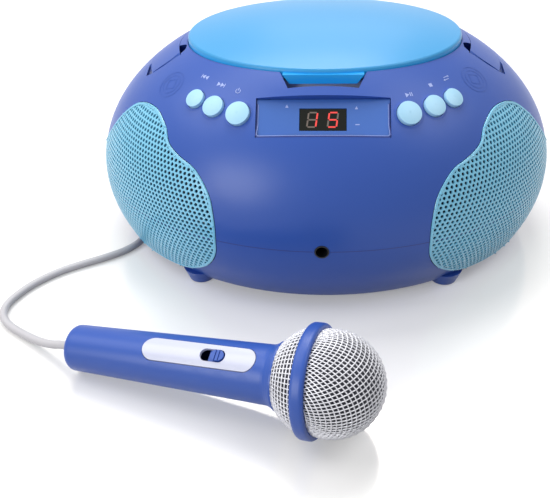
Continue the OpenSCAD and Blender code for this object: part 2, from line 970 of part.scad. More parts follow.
module speaker_baffle(side) {
    color(dark_plastic)
        difference() {
            intersection() {
                dome(wall + grille_t + 0.4);
                sided(side)
                    rotate([0, 0, speaker_turn])
                        block([-38, -baffle_reach, 13], [56, -baffle_reach + baffle_t, 94]);
                bowl_and_dome(wall + 0.6);
            }
            at_speaker(side)
                translate([0, 0, -10])
                    cylinder(d = cone_d + 3, h = 20);
        }
}

// Inside of both case halves together, shrunk by an amount.
module bowl_and_dome(shrink) {
    union() {
        bowl(shrink);
        intersection() {
            dome(shrink);
            block([-big, -big, parting_z - 0.01], [big, big, case_top]);
        }
    }
}

// Stamped frame with four arms, and the magnet behind it.
module speaker_frame(side) {
    color(steel)
        at_speaker(side)
            translate([0, 0, -baffle_t - fit])
                difference() {
                    union() {
                        translate([0, 0, -2])
                            cylinder(d = speaker_d, h = 2);
                        translate([0, 0, -basket_depth])
                            cylinder(d1 = magnet_d, d2 = cone_d + 5, h = basket_depth);
                    }
                    translate([0, 0, -basket_depth + 2])
                        cylinder(d1 = magnet_d - 4, d2 = cone_d + 1, h = basket_depth - 1.99);
                    cylinder(d = cone_d + 1, h = 5, center = true);
                    for (k = [0:3])
                        rotate([0, 0, 45 + 90 * k])
                            block([magnet_d / 2 - 1, -11, -basket_depth + 5], [speaker_d / 2, 11, -6]);
                }
    color(dark_plastic)
        at_speaker(side)
            translate([0, 0, -baffle_t - fit - basket_depth - magnet_h])
                cylinder(d = magnet_d, h = magnet_h + 0.01);
}

module speaker_cone(side) {
    color("#1C1D20")
        at_speaker(side)
            translate([0, 0, -baffle_t - fit])
                rotate_extrude()
                    polygon([
                        [0, -13.5], [7.5, -15], [7.5, -16.5], [cone_d / 2 - 5, -3.6],
                        [cone_d / 2 - 3, -1.8], [cone_d / 2 - 0.4, -2], [cone_d / 2, -0.6],
                        [cone_d / 2 - 2.8, -0.4], [cone_d / 2 - 5, -2], [8, -15],
                        [7.4, -12.6], [4.5, -11.2], [0, -10.6]
                    ]);
}

// Edges of a closed outline that lie to the right of a point. An odd count puts the point inside.
function crossings(p, points) = [
    for (i = [0:len(points) - 1])
        let (a = points[i], b = points[(i + 1) % len(points)])
        if ((a[1] > p[1]) != (b[1] > p[1])
            && p[0] < (b[0] - a[0]) * (p[1] - a[1]) / (b[1] - a[1]) + a[0]) 1
];
function is_inside(p, points) = len(crossings(p, points)) % 2 == 1;

grille_row = grille_pitch * sqrt(3) / 2;
grille_holes = [
    for (row = [0:12])
        for (column = [-7:12])
            let (p = [(column + (row % 2) / 2) * grille_pitch, 8 + row * grille_row])
            if (is_inside(p, grille_outline(grille_hole_d / 2 + 2))) p
];

// Curved panel that fills the opening in the case, with staggered six-sided holes.
module speaker_grille(side) {
    color(grille_blue)
        sided(side)
            difference() {
                intersection() {
                    difference() {
                        dome(-grille_proud, $fn = 84);
                        dome(grille_t - grille_proud, $fn = 84);
                    }
                    grille_prism(fit);
                }
                rotate([90, 0, speaker_turn])
                    for (p = grille_holes)
                        grille_hole(p);
            }
}

// One hole, as a six-sided prism along the speaker's axis.
module grille_hole(p) {
    translate([p[0], p[1], grille_depth[0]])
        hull() {
            cylinder(d = grille_hole_d, h = 1, $fn = 6);
            translate([0, 0, grille_depth[1] - grille_depth[0]])
                cylinder(d = grille_hole_d, h = 1, $fn = 6);
        }
}

// ---- Disc deck and mechanism.

deck_edge_t = 3;
deck_rest_z = ledge_base_z - deck_edge_t - fit;
flange_rx = deck_rx + 4;
flange_ry = deck_ry + 1.2;
slot_w = 25;
slot_end = 68;
sled_x = [14.6, 34];
rod_ends = [sled_x[0] - 2, sled_x[1] + sled_travel + 2.5];
hub_hole_d = turntable_d + 5;
disc_z = well_z + disc_lift;
chassis_top = chassis_z + chassis_t;
chassis_x = [-34, 75];
chassis_y = [-32, 44];
lens_x = 24;
stand_w = 3;
rod_z = chassis_top + 5;
sled_top = disc_z - 3;
motor_d = 23;
motor_h = 8.6;
pinion_r = gear_m * pinion_teeth / 2;
sled_gear_r = gear_m * sled_gear_teeth / 2;
rack_y = 22.3;
gear_x = 33;
gear_y = rack_y + sled_gear_r;
pinion_x = gear_x + pinion_r + sled_gear_r + 0.05;
gear_z = chassis_top + 0.6;
rack_pitch = PI * gear_m;

// Tray with the disc well, the finger hollows and the slot for the lens.
module disc_deck() {
    color(pale_plastic)
        difference() {
            union() {
                oval(deck_rx - fit, deck_ry - fit, deck_rest_z, ledge_z - 1.5);
                oval(flange_rx, flange_ry, deck_rest_z, ledge_base_z - fit);
                oval(deck_rx - 1, deck_ry - 0.6, well_z - deck_t, deck_rest_z + 0.1);
            }
            translate([0, 0, well_z])
                cylinder(d = well_d, h = 40);
            for (side = [-1, 1])
                translate([side * (well_d / 2 + 1), 0, well_z])
                    cylinder(r = 13, h = 40);
            translate([0, 0, well_z - 10])
                cylinder(d = hub_hole_d, h = 20);
            block([0, -slot_w / 2, well_z - 10], [slot_end, slot_w / 2, well_z + 3]);
        }
}

damper_places = [[-28, -26], [-28, 38], [61, -27], [61, 30]];

// Rubber bushes that hang the chassis from the deck.
module chassis_dampers() {
    color(dark_plastic)
        for (p = damper_places)
            translate([p[0], p[1], chassis_top + 0.1])
                difference() {
                    cylinder(d = 8, h = well_z - deck_t - chassis_top - 0.4);
                    translate([0, 0, -1])
                        cylinder(d = 3, h = 20);
                    translate([0, 0, 4])
                        difference() {
                            cylinder(d = 10, h = 1.6);
                            translate([0, 0, -1])
                                cylinder(d = 6, h = 4);
                        }
                }
}

// Chassis plate with the stands for the rods, the motor's hole and the gear's post.
module mech_chassis() {
    color(steel)
        difference() {
            union() {
                block([chassis_x[0], chassis_y[0], chassis_z], [chassis_x[1], chassis_y[1], chassis_top]);
                for (x = rod_ends)
                    for (side = [-1, 1])
                        block([x - stand_w / 2, side * rod_y - 3.2, chassis_top - 0.01],
                            [x + stand_w / 2, side * rod_y + 3.2, rod_z + 3]);
                translate([gear_x, gear_y, chassis_top - 0.01])
                    cylinder(d = 2.6, h = gear_t + 1.6);
            }
            for (side = [-1, 1])
                translate([rod_ends[0] - 5, side * rod_y, rod_z])
                    rotate([0, 90, 0])
                        cylinder(d = rod_d, h = rod_ends[1] - rod_ends[0] + 10);
            translate([0, 0, chassis_z - 1])
                cylinder(d = 8, h = chassis_t + 2);
            translate([pinion_x, gear_y, chassis_z - 1])
                cylinder(d = 2 * pinion_r + 3, h = chassis_t + 2);
            block([22, -8, chassis_z - 1], [62, 8, chassis_top + 1]);
            for (p = damper_places)
                translate([p[0], p[1], chassis_z - 1])
                    cylinder(d = 3, h = chassis_t + 2);
        }
}

module spindle_motor() {
    color(steel)
        translate([0, 0, chassis_top]) {
            cylinder(d = motor_d, h = motor_h);
            cylinder(d = 2, h = disc_z - chassis_top + 1);
        }
}

// Turntable with a rubber ring, a tapered hub and three retaining balls.
module turntable() {
    base = chassis_top + motor_h + 0.4;
    color(dark_plastic)
        difference() {
            union() {
                translate([0, 0, base])
                    cylinder(d = 9, h = disc_z - base);
                translate([0, 0, disc_z - 1.8])
                    cylinder(d = turntable_d, h = 1.8);
                translate([0, 0, disc_z - 0.01])
                    cylinder(d = hub_d, h = 1.8);
                translate([0, 0, disc_z + 1.78])
                    cylinder(d1 = hub_d, d2 = hub_d - 4, h = 2.2);
            }
            translate([0, 0, base - 1])
                cylinder(d = 2.3, h = 30);
            translate([0, 0, disc_z - 0.5])
                difference() {
                    cylinder(d = turntable_d - 3, h = 2);
                    translate([0, 0, -1])
                        cylinder(d = turntable_d - 8, h = 4);
                }
        }
    color(steel)
        for (k = [0:2])
            rotate([0, 0, 120 * k + 30])
                translate([hub_d / 2 - 1, 0, disc_z + 1.7])
                    sphere(r = 1.4);
}

// Point of the involute of a circle.
function involute(r, t) = r * [cos(t) + t * PI / 180 * sin(t), sin(t) - t * PI / 180 * cos(t)];
// Outline of an involute gear, with each tooth thinned for backlash.
function gear_outline(teeth, m, thin) =
    let (
        rp = m * teeth / 2,
        rb = rp * cos(20),
        ra = rp + m * 0.95,
        rf = rp - m * 1.2,
        inv_pitch = tan(20) * 180 / PI - 20,
        half = 90 / teeth + inv_pitch - thin / rp * 90 / PI,
        t_end = sqrt(pow(ra / rb, 2) - 1) * 180 / PI,
        flank = [for (k = [0:3]) involute(rb, t_end * k / 3)],
        polar = [for (p = flank) [norm(p), half - atan2(p[1], p[0])]],
        lower = [for (p = polar) [p[0], -p[1]]],
        upper = [for (k = [3:-1:0]) polar[k]],
        tooth = concat([[rf, -half - 1]], lower, upper, [[rf, half + 1]])
    )
    [for (i = [0:teeth - 1]) for (p = tooth)
        p[0] * [cos(360 * i / teeth + p[1]), sin(360 * i / teeth + p[1])]];

// Gear between the rack and the pinion, turned so that a tooth points at the rack.
module sled_gear() {
    color(pale_plastic)
        translate([gear_x, gear_y, gear_z])
            difference() {
                union() {
                    rotate([0, 0, -90])
                        linear_extrude(height = gear_t)
                            polygon(gear_outline(sled_gear_teeth, gear_m, backlash));
                    translate([0, 0, gear_t - 0.01])
                        cylinder(d = 6, h = 0.8);
                }
                translate([0, 0, -1])
                    cylinder(d = 2.9, h = gear_t + 4);
            }
}

// Angle by which the gear's nearest tooth lies past the line to the pinion, and the
// turn of the pinion that puts one of its gaps there.
gear_offset = 360 / sled_gear_teeth * ceil(sled_gear_teeth / 4) - 90;
pinion_turn = 180 + 180 / pinion_teeth - gear_offset * sled_gear_teeth / pinion_teeth;

module motor_pinion() {
    color(pale_plastic)
        translate([pinion_x, gear_y, gear_z - 0.3])
            difference() {
                rotate([0, 0, pinion_turn])
                    linear_extrude(height = gear_t + 0.6)
                        polygon(gear_outline(pinion_teeth, gear_m, backlash));
                translate([0, 0, -1])
                    cylinder(d = 1.5, h = gear_t + 4);
            }
}

module sled_motor() {
    color(steel)
        translate([pinion_x, gear_y, 0]) {
            translate([0, 0, chassis_z - 12.2])
                cylinder(d = 20, h = 12);
            translate([0, 0, chassis_z - 0.3])
                cylinder(d = 1.4, h = gear_z + gear_t + 0.8 - chassis_z);
        }
}

// Straight rack with a gap below the tooth that the sled gear points at it.
module sled_rack() {
    first = -ceil((sled_travel + 4) / rack_pitch);
    last = ceil(3 / rack_pitch);
    tooth_half = rack_pitch / 4 - backlash / 2;
    slant = gear_m * tan(20);
    translate([gear_x, rack_y, gear_z])
        linear_extrude(height = gear_t - 0.4)
            union() {
                translate([(first + 0.1) * rack_pitch, -gear_m - 2.6])
                    square([(last - first + 0.8) * rack_pitch, 2.5]);
                for (k = [first:last])
                    translate([(k + 0.5) * rack_pitch, 0])
                        polygon([
                            [-tooth_half - slant, -gear_m * 1.2], [tooth_half + slant, -gear_m * 1.2],
                            [tooth_half - slant * 0.9, gear_m * 0.9],
                            [-tooth_half + slant * 0.9, gear_m * 0.9]
                        ]);
            }
}

// Sled that carries the lens along the two rods.
module optical_sled() {
    low = chassis_top + 1.4;
    color(dark_plastic)
        difference() {
            union() {
                block([sled_x[0], -rod_y - 3.4, low], [sled_x[1], rod_y + 2.8, rod_z + 2.6]);
                block([sled_x[0] + 2, -9, low], [sled_x[1] - 2, 9, sled_top]);
                block([sled_x[0] + 4, rod_y, gear_z], [sled_x[1] - 4, rack_y - gear_m - 0.4,
                    gear_z + gear_t - 0.4]);
                sled_rack();
            }
            for (side = [-1, 1])
                translate([sled_x[0] - 2, side * rod_y, rod_z])
                    rotate([0, 90, 0])
                        cylinder(r = rod_d / 2 + 0.25, h = sled_x[1] - sled_x[0] + 4);
            translate([lens_x, 0, sled_top - 3])
                cylinder(d = 9, h = 5);
            translate([0, 0, chassis_top])
                cylinder(r = motor_d / 2 + 0.8, h = motor_h + 0.5);
            translate([0, 0, chassis_top + motor_h])
                cylinder(r = turntable_d / 2 + 1, h = 20);
        }
}

module pickup_lens() {
    color("#9FB4D8")
        translate([lens_x, 0, sled_top - 3]) {
            cylinder(d = 8.4, h = 2);
            translate([0, 0, 1.99])
                cylinder(d = 5.4, h = 1);
        }
}

module guide_rods() {
    color(steel)
        for (side = [-1, 1])
            translate([rod_ends[0] - stand_w / 2, side * rod_y, rod_z])
                rotate([0, 90, 0])
                    cylinder(d = rod_d, h = rod_ends[1] - rod_ends[0] + stand_w);
}

// ---- Microphone. Local +Z runs from the tail to the head, and local -X is up.

ring_r = ring_d / 2;
tail_r = tail_d / 2;
ring_flat = 5;
mic_slope = atan((ring_r - tail_r) / (mic_len - ring_flat / 2));
mic_x = -2.7;
mic_y = -197;
mic_lift = ring_r * cos(mic_slope) + ring_flat / 2 * sin(mic_slope);
head_r = head_d / 2;
tail_round = 3.5;
grip_end = -neck_back - 5;
mic_bore = tail_r - 2.4;
spigot_r = neck_d / 2 - 2.6;
plate_z = [-plate_back - plate_len, -plate_back];
plate_t = 1.6;
slot_z = -47;
slot_size = [6.4, 13];
knob_len = slot_size[1] - 2.4 - switch_travel;
relief_r = lead_d / 2 + 0.8;

module at_mic() {
    translate([mic_x, mic_y, mic_lift])
        rotate([0, 90 - mic_slope, -mic_turn])
            children();
}

// Radius of the handle at a place along its axis, behind the flared neck.
function handle_radius(z) =
    tail_r + (grip_d / 2 - tail_r) * (z + mic_len) / (mic_len + grip_end);

module mic_handle() {
    color(case_blue)
        at_mic()
            difference() {
                rotate_extrude()
                    polygon(concat(
                        [[0, -mic_len]],
                        [for (a = [0:15:90])
                            [tail_r - tail_round * (1 - sin(a)), -mic_len + tail_round * (1 - cos(a))]],
                        [[handle_radius(grip_end), grip_end]],
                        [for (k = [1:4])
                            [grip_d / 2 + (neck_d - grip_d) / 2 * pow(k / 4, 1.8),
                                grip_end + 5 * k / 4]],
                        [[neck_d / 2, -neck_back + 0.8], [spigot_r, -neck_back + 0.8],
                            [spigot_r, -ring_w / 2 - 0.6], [0, -ring_w / 2 - 0.6]]
                    ));
                translate([0, 0, -mic_len + 3])
                    cylinder(r = mic_bore, h = mic_len);
                translate([0, 0, -mic_len - 1])
                    cylinder(r = relief_r, h = 6);
                plate_layer(plate_t + fit, 0);
                at_plate()
                    block([0, -4.6, slot_z - 8.6], [tail_r + 1, 4.6, slot_z + 8.6]);
            }
}

// Frame for the switch plate: its origin is on the axis and +X faces out of the plate.
module at_plate() {
    rotate([0, 0, 180 + plate_roll])
        children();
}

// Bar with round ends along the handle, given by its width, its ends and its two heights.
module round_bar(w, z, x0, x1) {
    translate([x0, 0, 0])
        rotate([0, 90, 0])
            linear_extrude(height = x1 - x0)
                union() {
                    for (end = [z[0] + w / 2, z[1] - w / 2])
                        translate([-end, 0])
                            circle(d = w);
                    translate([-z[1] + w / 2, -w / 2])
                        square([z[1] - z[0] - w, w]);
                }
}

// Layer of the handle's skin in the plate's outline, with its depth and a margin inside.
module plate_layer(depth, margin) {
    ends = [plate_z[0] - 1, plate_z[1] + 1];
    out = depth > plate_t ? 3 : 0.2;
    intersection() {
        rotate_extrude()
            polygon([
                [handle_radius(ends[0]) - depth, ends[0]], [handle_radius(ends[0]) + out, ends[0]],
                [handle_radius(ends[1]) + out, ends[1]], [handle_radius(ends[1]) - depth, ends[1]]
            ]);
        at_plate()
            round_bar(plate_w - 2 * margin, [plate_z[0] + margin, plate_z[1] - margin], 0, neck_d);
    }
}

module mic_switch_plate() {
    color(pale_plastic)
        at_mic()
            difference() {
                plate_layer(plate_t, fit);
                at_plate()
                    round_bar(slot_size[0], [slot_z - slot_size[1] / 2, slot_z + slot_size[1] / 2],
                        0, neck_d);
            }
}

// Slider with a flange that runs below the plate.
module mic_switch() {
    end = slot_z + slot_size[1] / 2 - 0.6;
    top = handle_radius(slot_z);
    color(case_blue)
        at_mic()
            at_plate()
                difference() {
                    union() {
                        round_bar(slot_size[0] - 1, [end - knob_len, end], top - 2.8, top + 0.9);
                        block([top - 3.8, -4, end - knob_len - 2], [top - 2.6, 4, end + 1.4]);
                    }
                    for (k = [0:1])
                        block([top + 0.4, -4, end - 4.4 + 1.8 * k], [neck_d, 4, end - 3.8 + 1.8 * k]);
                }
}

module mic_ring() {
    color(case_blue)
        at_mic()
            rotate_extrude()
                polygon([
                    [basket_r + 0.2, -ring_w / 2], [ring_r - 1.6, -ring_w / 2],
                    [ring_r - 0.5, -ring_w / 2 + 1.2],
                    [ring_r, -ring_flat / 2], [ring_r, ring_flat / 2], [ring_r - 0.5, ring_w / 2 - 1.2],
                    [ring_r - 1.6, ring_w / 2], [basket_r + 0.2, ring_w / 2]
                ]);
}

basket_r = ring_r - 3.6;
basket_t = 1.2;
basket_gap = 0.2;
// Centre and radius of the rear band's curve, from the neck to the ring.
band_base = [neck_d / 2, -neck_back + 1];
band_rim = [ring_r - 2, -ring_w / 2 - basket_gap];
band_z = (band_base * band_base - band_rim * band_rim) / (2 * (band_base[1] - band_rim[1]));
band_r = norm(band_rim - [0, band_z]);

// Half section of the mesh basket, shrunk by an amount.
module basket_profile(shrink) {
    step = ring_w / 2 + basket_gap;
    intersection() {
        translate([0, head_reach])
            circle(r = head_r - shrink);
        translate([0, step + shrink])
            square([ring_d, head_d]);
    }
    intersection() {
        translate([0, band_z])
            circle(r = band_r - shrink);
        translate([0, band_base[1] - shrink])
            square([ring_d, band_rim[1] - band_base[1]]);
    }
    translate([0, -step - 1.01 * shrink])
        square([basket_r - shrink, 2 * step + 2.02 * shrink]);
}

// Mesh dome in front of the ring and the curved band behind it, as one basket.
module mic_head() {
    color("#D4D6DC")
        at_mic()
            rotate_extrude()
                difference() {
                    basket_profile(0);
                    basket_profile(basket_t);
                }
}

module mic_capsule() {
    color(dark_plastic)
        at_mic() {
            translate([0, 0, -ring_w / 2 - 0.4])
                cylinder(r = spigot_r, h = 5);
            translate([0, 0, -1])
                cylinder(r = 10, h = 16);
        }
}

// Grommet through the handle's end, with a flange inside.
module mic_strain_relief() {
    color(lead_grey)
        at_mic() {
            translate([0, 0, -mic_len - relief_len])
                cylinder(r1 = lead_d / 2 + 0.3, r2 = relief_r, h = relief_len);
            translate([0, 0, -mic_len - 0.01])
                cylinder(r = relief_r - 0.05, h = 4.5);
            translate([0, 0, -mic_len + 3.1])
                cylinder(r = relief_r + 1.6, h = 2);
        }
}

// ---- Lead: one free stretch and one coil, each swept as an unbroken tube.

function unit(v) = v / norm(v);
function at_mic_point(p) =
    let (
        s = mic_slope,
        q = [p[0] * sin(s) + p[2] * cos(s), p[1], -p[0] * cos(s) + p[2] * sin(s)],
        t = -mic_turn
    )
    [mic_x + q[0] * cos(t) - q[1] * sin(t), mic_y + q[0] * sin(t) + q[1] * cos(t), mic_lift + q[2]];

lead_z = 2.3;
relief_end = at_mic_point([0, 0, -mic_len - relief_len]);
relief_out = at_mic_point([0, 0, -mic_len - relief_len - lead_d]);
// Free stretch from the microphone, round the console's left side, to the coil behind it.
lead_points = [
    [-137, -154.5, 9], [-144, -151, 6.2], [-154, -145, 3.6], [-166, -137, 2.3], [-174, -131, 2.3],
    [-180, -123, 2.3], [-181, -113, 2.3], [-177, -102, 2.3], [-170, -91, 2.3], [-159, -80, 2.3],
    [-147, -72, 2.3], [-135, -65, 2.3], [-123, -56, 2.3], [-116, -45, 2.3], [-113, -30, 2.3],
    [-116, -10, 2.3], [-124, 18, 2.3], [-131, 48, 2.3], [-134, 80, 2.3], [-130, 110, 2.3],
    [-116, 136, 2.3], [-94, 151, 2.3], [-70, 157, 2.3], [-46, 158, 2.3]
];
coil_centre = [-20, 196];

// Open smooth curve through the points, with the given steps in each span.
function smooth_path(points, steps) =
    let (n = len(points))
    concat([for (i = [0:n - 2]) for (k = [0:steps - 1])
        curve_point(points[max(i - 1, 0)], points[i], points[i + 1], points[min(i + 2, n - 1)],
            k / steps)], [points[n - 1]]);

// Rings of points round a path. Each ring stands square to the path.
function path_rings(path, r, sides) =
    let (n = len(path))
    [for (i = [0:n - 1])
        let (
            d = unit(path[min(i + 1, n - 1)] - path[max(i - 1, 0)]),
            u = unit(cross(d, [0, 0, 1])),
            w = cross(u, d)
        )
        [for (k = [0:sides - 1]) path[i] + r * (cos(360 * k / sides) * u + sin(360 * k / sides) * w)]];

module tube(path, r, sides) {
    n = len(path);
    rings = path_rings(path, r, sides);
    points = [for (ring = rings) for (p = ring) p];
    skin = [for (i = [0:n - 2]) for (k = [0:sides - 1])
        let (a = i * sides + k, b = i * sides + (k + 1) % sides)
        each [[a, b, a + sides], [b, b + sides, a + sides]]];
    start_cap = [for (k = [1:sides - 2]) [0, k + 1, k]];
    end_cap = [for (k = [1:sides - 2])
        [(n - 1) * sides, (n - 1) * sides + k, (n - 1) * sides + k + 1]];
    polyhedron(points = points, faces = concat(skin, start_cap, end_cap), convexity = 10);
}

// The coil winds inward in its lower layer and outward again in its upper layer.
coil_rings = 24;
coil_turns = 2 * coil_loops + 0.5;
function climb(t) = max(0, min(t, 1));
function coil_point(turn) =
    let (
        reach = coil_r + coil_pitch * max(coil_loops - turn, turn - coil_loops - 0.5, 0),
        angle = 360 * turn - 90
    )
    [coil_centre[0] + reach * cos(angle), coil_centre[1] + reach * sin(angle),
        lead_z + coil_layer * climb((turn - coil_loops) * 2)];

coil_out = coil_r + coil_pitch * coil_loops;
coil_in = [coil_centre[0] - lead_d, coil_centre[1] - coil_out, lead_z];
coil_end = [coil_centre[0] - 22, coil_centre[1] + coil_out, lead_z + coil_layer];
coil_path = concat([coil_in], [for (k = [0:coil_rings * coil_turns]) coil_point(k / coil_rings)],
    [coil_end + [lead_d, 0, 0], coil_end]);

// Least distance between two stretches of the coil that aren't neighbours, less the lead itself.
coil_gap = min([for (i = [0:len(coil_path) - 1]) for (j = [i + 8:len(coil_path) - 1])
    norm(coil_path[i] - coil_path[j])]) - lead_d;
echo(coil_gap = coil_gap);

lead_path = concat([relief_end, relief_out], smooth_path(lead_points, 2),
    [coil_in - [lead_d, 0, 0], coil_in]);

module mic_lead() {
    color(lead_grey)
        tube(lead_path, lead_d / 2, 10);
}

module lead_coil() {
    color(lead_grey)
        tube(coil_path, lead_d / 2, 6);
}

// Plug at the coil's end, with a ringed shaft.
module mic_plug() {
    body_r = coil_end[2];
    translate(coil_end)
        rotate([0, -90, 0]) {
            color(dark_plastic)
                rotate_extrude()
                    polygon([
                        [0, 0], [lead_d / 2 + 0.6, 0], [body_r - 1.6, 14], [body_r, 16], [body_r, 36],
                        [body_r - 1, 38], [0, 38]
                    ]);
            color(steel)
                translate([0, 0, 38])
                    rotate_extrude()
                        polygon([
                            [0, -1], [plug_d / 2, -1], [plug_d / 2, plug_len - 7],
                            [plug_d / 2 - 0.8, plug_len - 6], [2, plug_len - 5], [plug_d / 2, plug_len - 3],
                            [1.4, plug_len], [0, plug_len]
                        ]);
        }
}

top_case();
bottom_case();
case_screws();
rubber_feet();
battery_door();
battery_contacts();
power_inlet();
transformer();
main_board();
speaker_grille(-1);  // speaker_grille_left
speaker_grille(1);  // speaker_grille_right
speaker_baffle(-1);  // speaker_baffle_left
speaker_baffle(1);  // speaker_baffle_right
speaker_frame(-1);  // speaker_frame_left
speaker_frame(1);  // speaker_frame_right
speaker_cone(-1);  // speaker_cone_left
speaker_cone(1);  // speaker_cone_right
display_panel();
display_window();
display_module();
button(2, -1);  // previous_button
button(1, -1);  // next_button
button(0, -1);  // power_button
button(0, 1);  // play_button
button(1, 1);  // stop_button
button(2, 1);  // mode_button
control_board(-1);  // control_board_left
control_board(1);  // control_board_right
mic_socket();
cd_lid();
lid_hinge_pins();
carry_handle();
handle_pins();
disc_deck();
chassis_dampers();
mech_chassis();
spindle_motor();
turntable();
optical_sled();
pickup_lens();
guide_rods();
sled_motor();
motor_pinion();
sled_gear();
mic_handle();
mic_switch_plate();
mic_switch();
mic_ring();
mic_head();
mic_capsule();
mic_strain_relief();
mic_lead();
lead_coil();
mic_plug();
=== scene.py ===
"""Portable disc player with speakers, a display and a carry handle, and its wired microphone."""
import math

import bmesh
import bpy
import numpy as np
from mathutils import Matrix, Vector


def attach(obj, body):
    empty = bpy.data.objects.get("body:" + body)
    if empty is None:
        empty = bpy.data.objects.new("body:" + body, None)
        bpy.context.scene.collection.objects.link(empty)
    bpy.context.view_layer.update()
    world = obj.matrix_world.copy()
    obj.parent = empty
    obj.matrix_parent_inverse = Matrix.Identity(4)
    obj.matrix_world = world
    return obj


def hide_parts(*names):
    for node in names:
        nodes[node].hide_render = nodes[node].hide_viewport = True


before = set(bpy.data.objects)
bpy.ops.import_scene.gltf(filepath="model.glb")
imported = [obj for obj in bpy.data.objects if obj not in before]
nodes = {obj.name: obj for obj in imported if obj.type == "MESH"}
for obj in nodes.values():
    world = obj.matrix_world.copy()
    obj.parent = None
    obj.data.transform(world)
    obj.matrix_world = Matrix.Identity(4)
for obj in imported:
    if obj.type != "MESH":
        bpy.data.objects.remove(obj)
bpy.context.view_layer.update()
bpy.ops.object.select_all(action="DESELECT")


# ---- Camera
# It looks down on the player from the front, turned a little to the left and rolled
# a little, with the microphone on the table between it and the player.
camera_place, focal_px, frame_px, sensor_mm = (0, -0.45743, 0.27847), 779.49, 550, 36
pitch, yaw, roll = (math.radians(angle) for angle in (34.331, 4.167, 1.882))
ahead = Vector((-math.sin(yaw) * math.cos(pitch), math.cos(yaw) * math.cos(pitch),
                -math.sin(pitch)))
level = Vector((math.cos(yaw), math.sin(yaw), 0))
across = math.cos(roll) * level + math.sin(roll) * ahead.cross(level)
upward = math.sin(roll) * level - math.cos(roll) * ahead.cross(level)
bpy.ops.object.camera_add(location=camera_place)
camera = bpy.context.object
camera.matrix_world = (Matrix.Translation(camera_place)
                       @ Matrix((across, upward, -ahead)).transposed().to_4x4())
camera.data.sensor_width = sensor_mm
camera.data.lens = sensor_mm * focal_px / frame_px
camera.data.clip_start = 0.01
bpy.context.scene.camera = camera


# ---- Microphone's lead
# Round two-core cable with a soft extruded jacket. It leaves the handle's end, runs round
# the player on the table and is wound into a coil of two layers behind it.
def tint(code):
    """Linear colour of an sRGB hex value."""
    parts = [int(code[i:i + 2], 16) / 255 for i in (1, 3, 5)]
    return (*(p / 12.92 if p <= 0.04045 else ((p + 0.055) / 1.055) ** 2.4 for p in parts), 1)


def add(tree, kind, links=None, **settings):
    """Adds a node with its settings, and with a value or a link for each named socket."""
    made = tree.nodes.new(kind)
    for key, value in settings.items():
        setattr(made, key, value)
    for key, value in (links or {}).items():
        if isinstance(value, bpy.types.NodeSocket):
            tree.links.new(value, made.inputs[key])
        else:
            made.inputs[key].default_value = value
    return made


def new_finish(name):
    """Empty material with its tree, and the place on the piece that its patterns read."""
    made = bpy.data.materials.new(name)
    made.use_nodes = True
    made.node_tree.nodes.clear()
    return made, made.node_tree, add(made.node_tree, "ShaderNodeTexCoord").outputs["Object"]


def moulded(name, colour, shade, roughness, ior=1.54, grain=0.0006, depth=0.00002, patch=0.05,
            sheen=0.0, metallic=0.0, spread=0.06, gloss=0.5):
    """Plastic or metal with a fine skin and slow drifts in colour: the grain's width and depth
    and the drifts' width are in metres."""
    made, tree, place = new_finish(name)
    drift = add(tree, "ShaderNodeTexNoise", {"Vector": place, "Scale": 1 / patch, "Detail": 3.0})
    fine = add(tree, "ShaderNodeTexNoise", {"Vector": place, "Scale": 1 / grain, "Detail": 2.0})
    blend = add(tree, "ShaderNodeMix", {0: drift.outputs["Fac"], 6: tint(colour), 7: tint(shade)},
                data_type="RGBA")
    rough = add(tree, "ShaderNodeMapRange", {
        "Value": fine.outputs["Fac"], "To Min": roughness - spread, "To Max": roughness + spread})
    skin = add(tree, "ShaderNodeBump", {
        "Height": fine.outputs["Fac"], "Distance": depth, "Strength": 0.6})
    surface = add(tree, "ShaderNodeBsdfPrincipled", {
        "Base Color": blend.outputs[2], "Roughness": rough.outputs["Result"],
        "Normal": skin.outputs["Normal"]})
    surface.inputs["IOR"].default_value = ior
    surface.inputs["Metallic"].default_value = metallic
    surface.inputs["Specular IOR Level"].default_value = gloss
    surface.inputs["Sheen Weight"].default_value = sheen
    add(tree, "ShaderNodeOutputMaterial", {"Surface": surface.outputs["BSDF"]})
    return made


def smooth_route(points, steps):
    """Smooth line through the points, with the given steps in each span."""
    line, last = [], len(points) - 1
    for i in range(last):
        p0, p1, p2, p3 = (Vector(points[min(max(k, 0), last)]) for k in (i - 1, i, i + 1, i + 2))
        for k in range(steps):
            t = k / steps
            line.append(0.5 * (2 * p1 + (p2 - p0) * t + (2 * p0 - 5 * p1 + 4 * p2 - p3) * t * t
                               + (3 * p1 - p0 - 3 * p2 + p3) * t ** 3))
    return line + [Vector(points[-1])]


# PVC jacket: flexible, off-white, with a slight haze and no gloss
jacket = moulded("soft_pvc_jacket", "#C6C4C8", "#BCBABE", 0.48, grain=0.0008, depth=0.00003,
                 patch=0.09)
lead_d, lead_z = 0.0045, 0.0023
lead_exit = Vector((-.130037, -.158312, .0114686))
past_relief = Vector((-.134313, -.157013, .0109434))
free_points = [
    (-.137, -.1545, .009), (-.144, -.151, .0062), (-.154, -.145, .0036), (-.166, -.137, lead_z),
    (-.174, -.131, lead_z), (-.180, -.123, lead_z), (-.181, -.113, lead_z), (-.177, -.102, lead_z),
    (-.170, -.091, lead_z), (-.159, -.080, lead_z), (-.147, -.072, lead_z), (-.135, -.065, lead_z),
    (-.123, -.056, lead_z), (-.116, -.045, lead_z), (-.113, -.030, lead_z), (-.116, -.010, lead_z),
    (-.124, .018, lead_z), (-.131, .048, lead_z), (-.134, .080, lead_z), (-.130, .110, lead_z),
    (-.116, .136, lead_z), (-.094, .151, lead_z), (-.070, .157, lead_z), (-.046, .158, lead_z)]
coil_x, coil_y, coil_r, coil_pitch, coil_layer, loops = -.020, .196, .0175, .0055, .0056, 4
climb, turn_steps = 0.5, 32
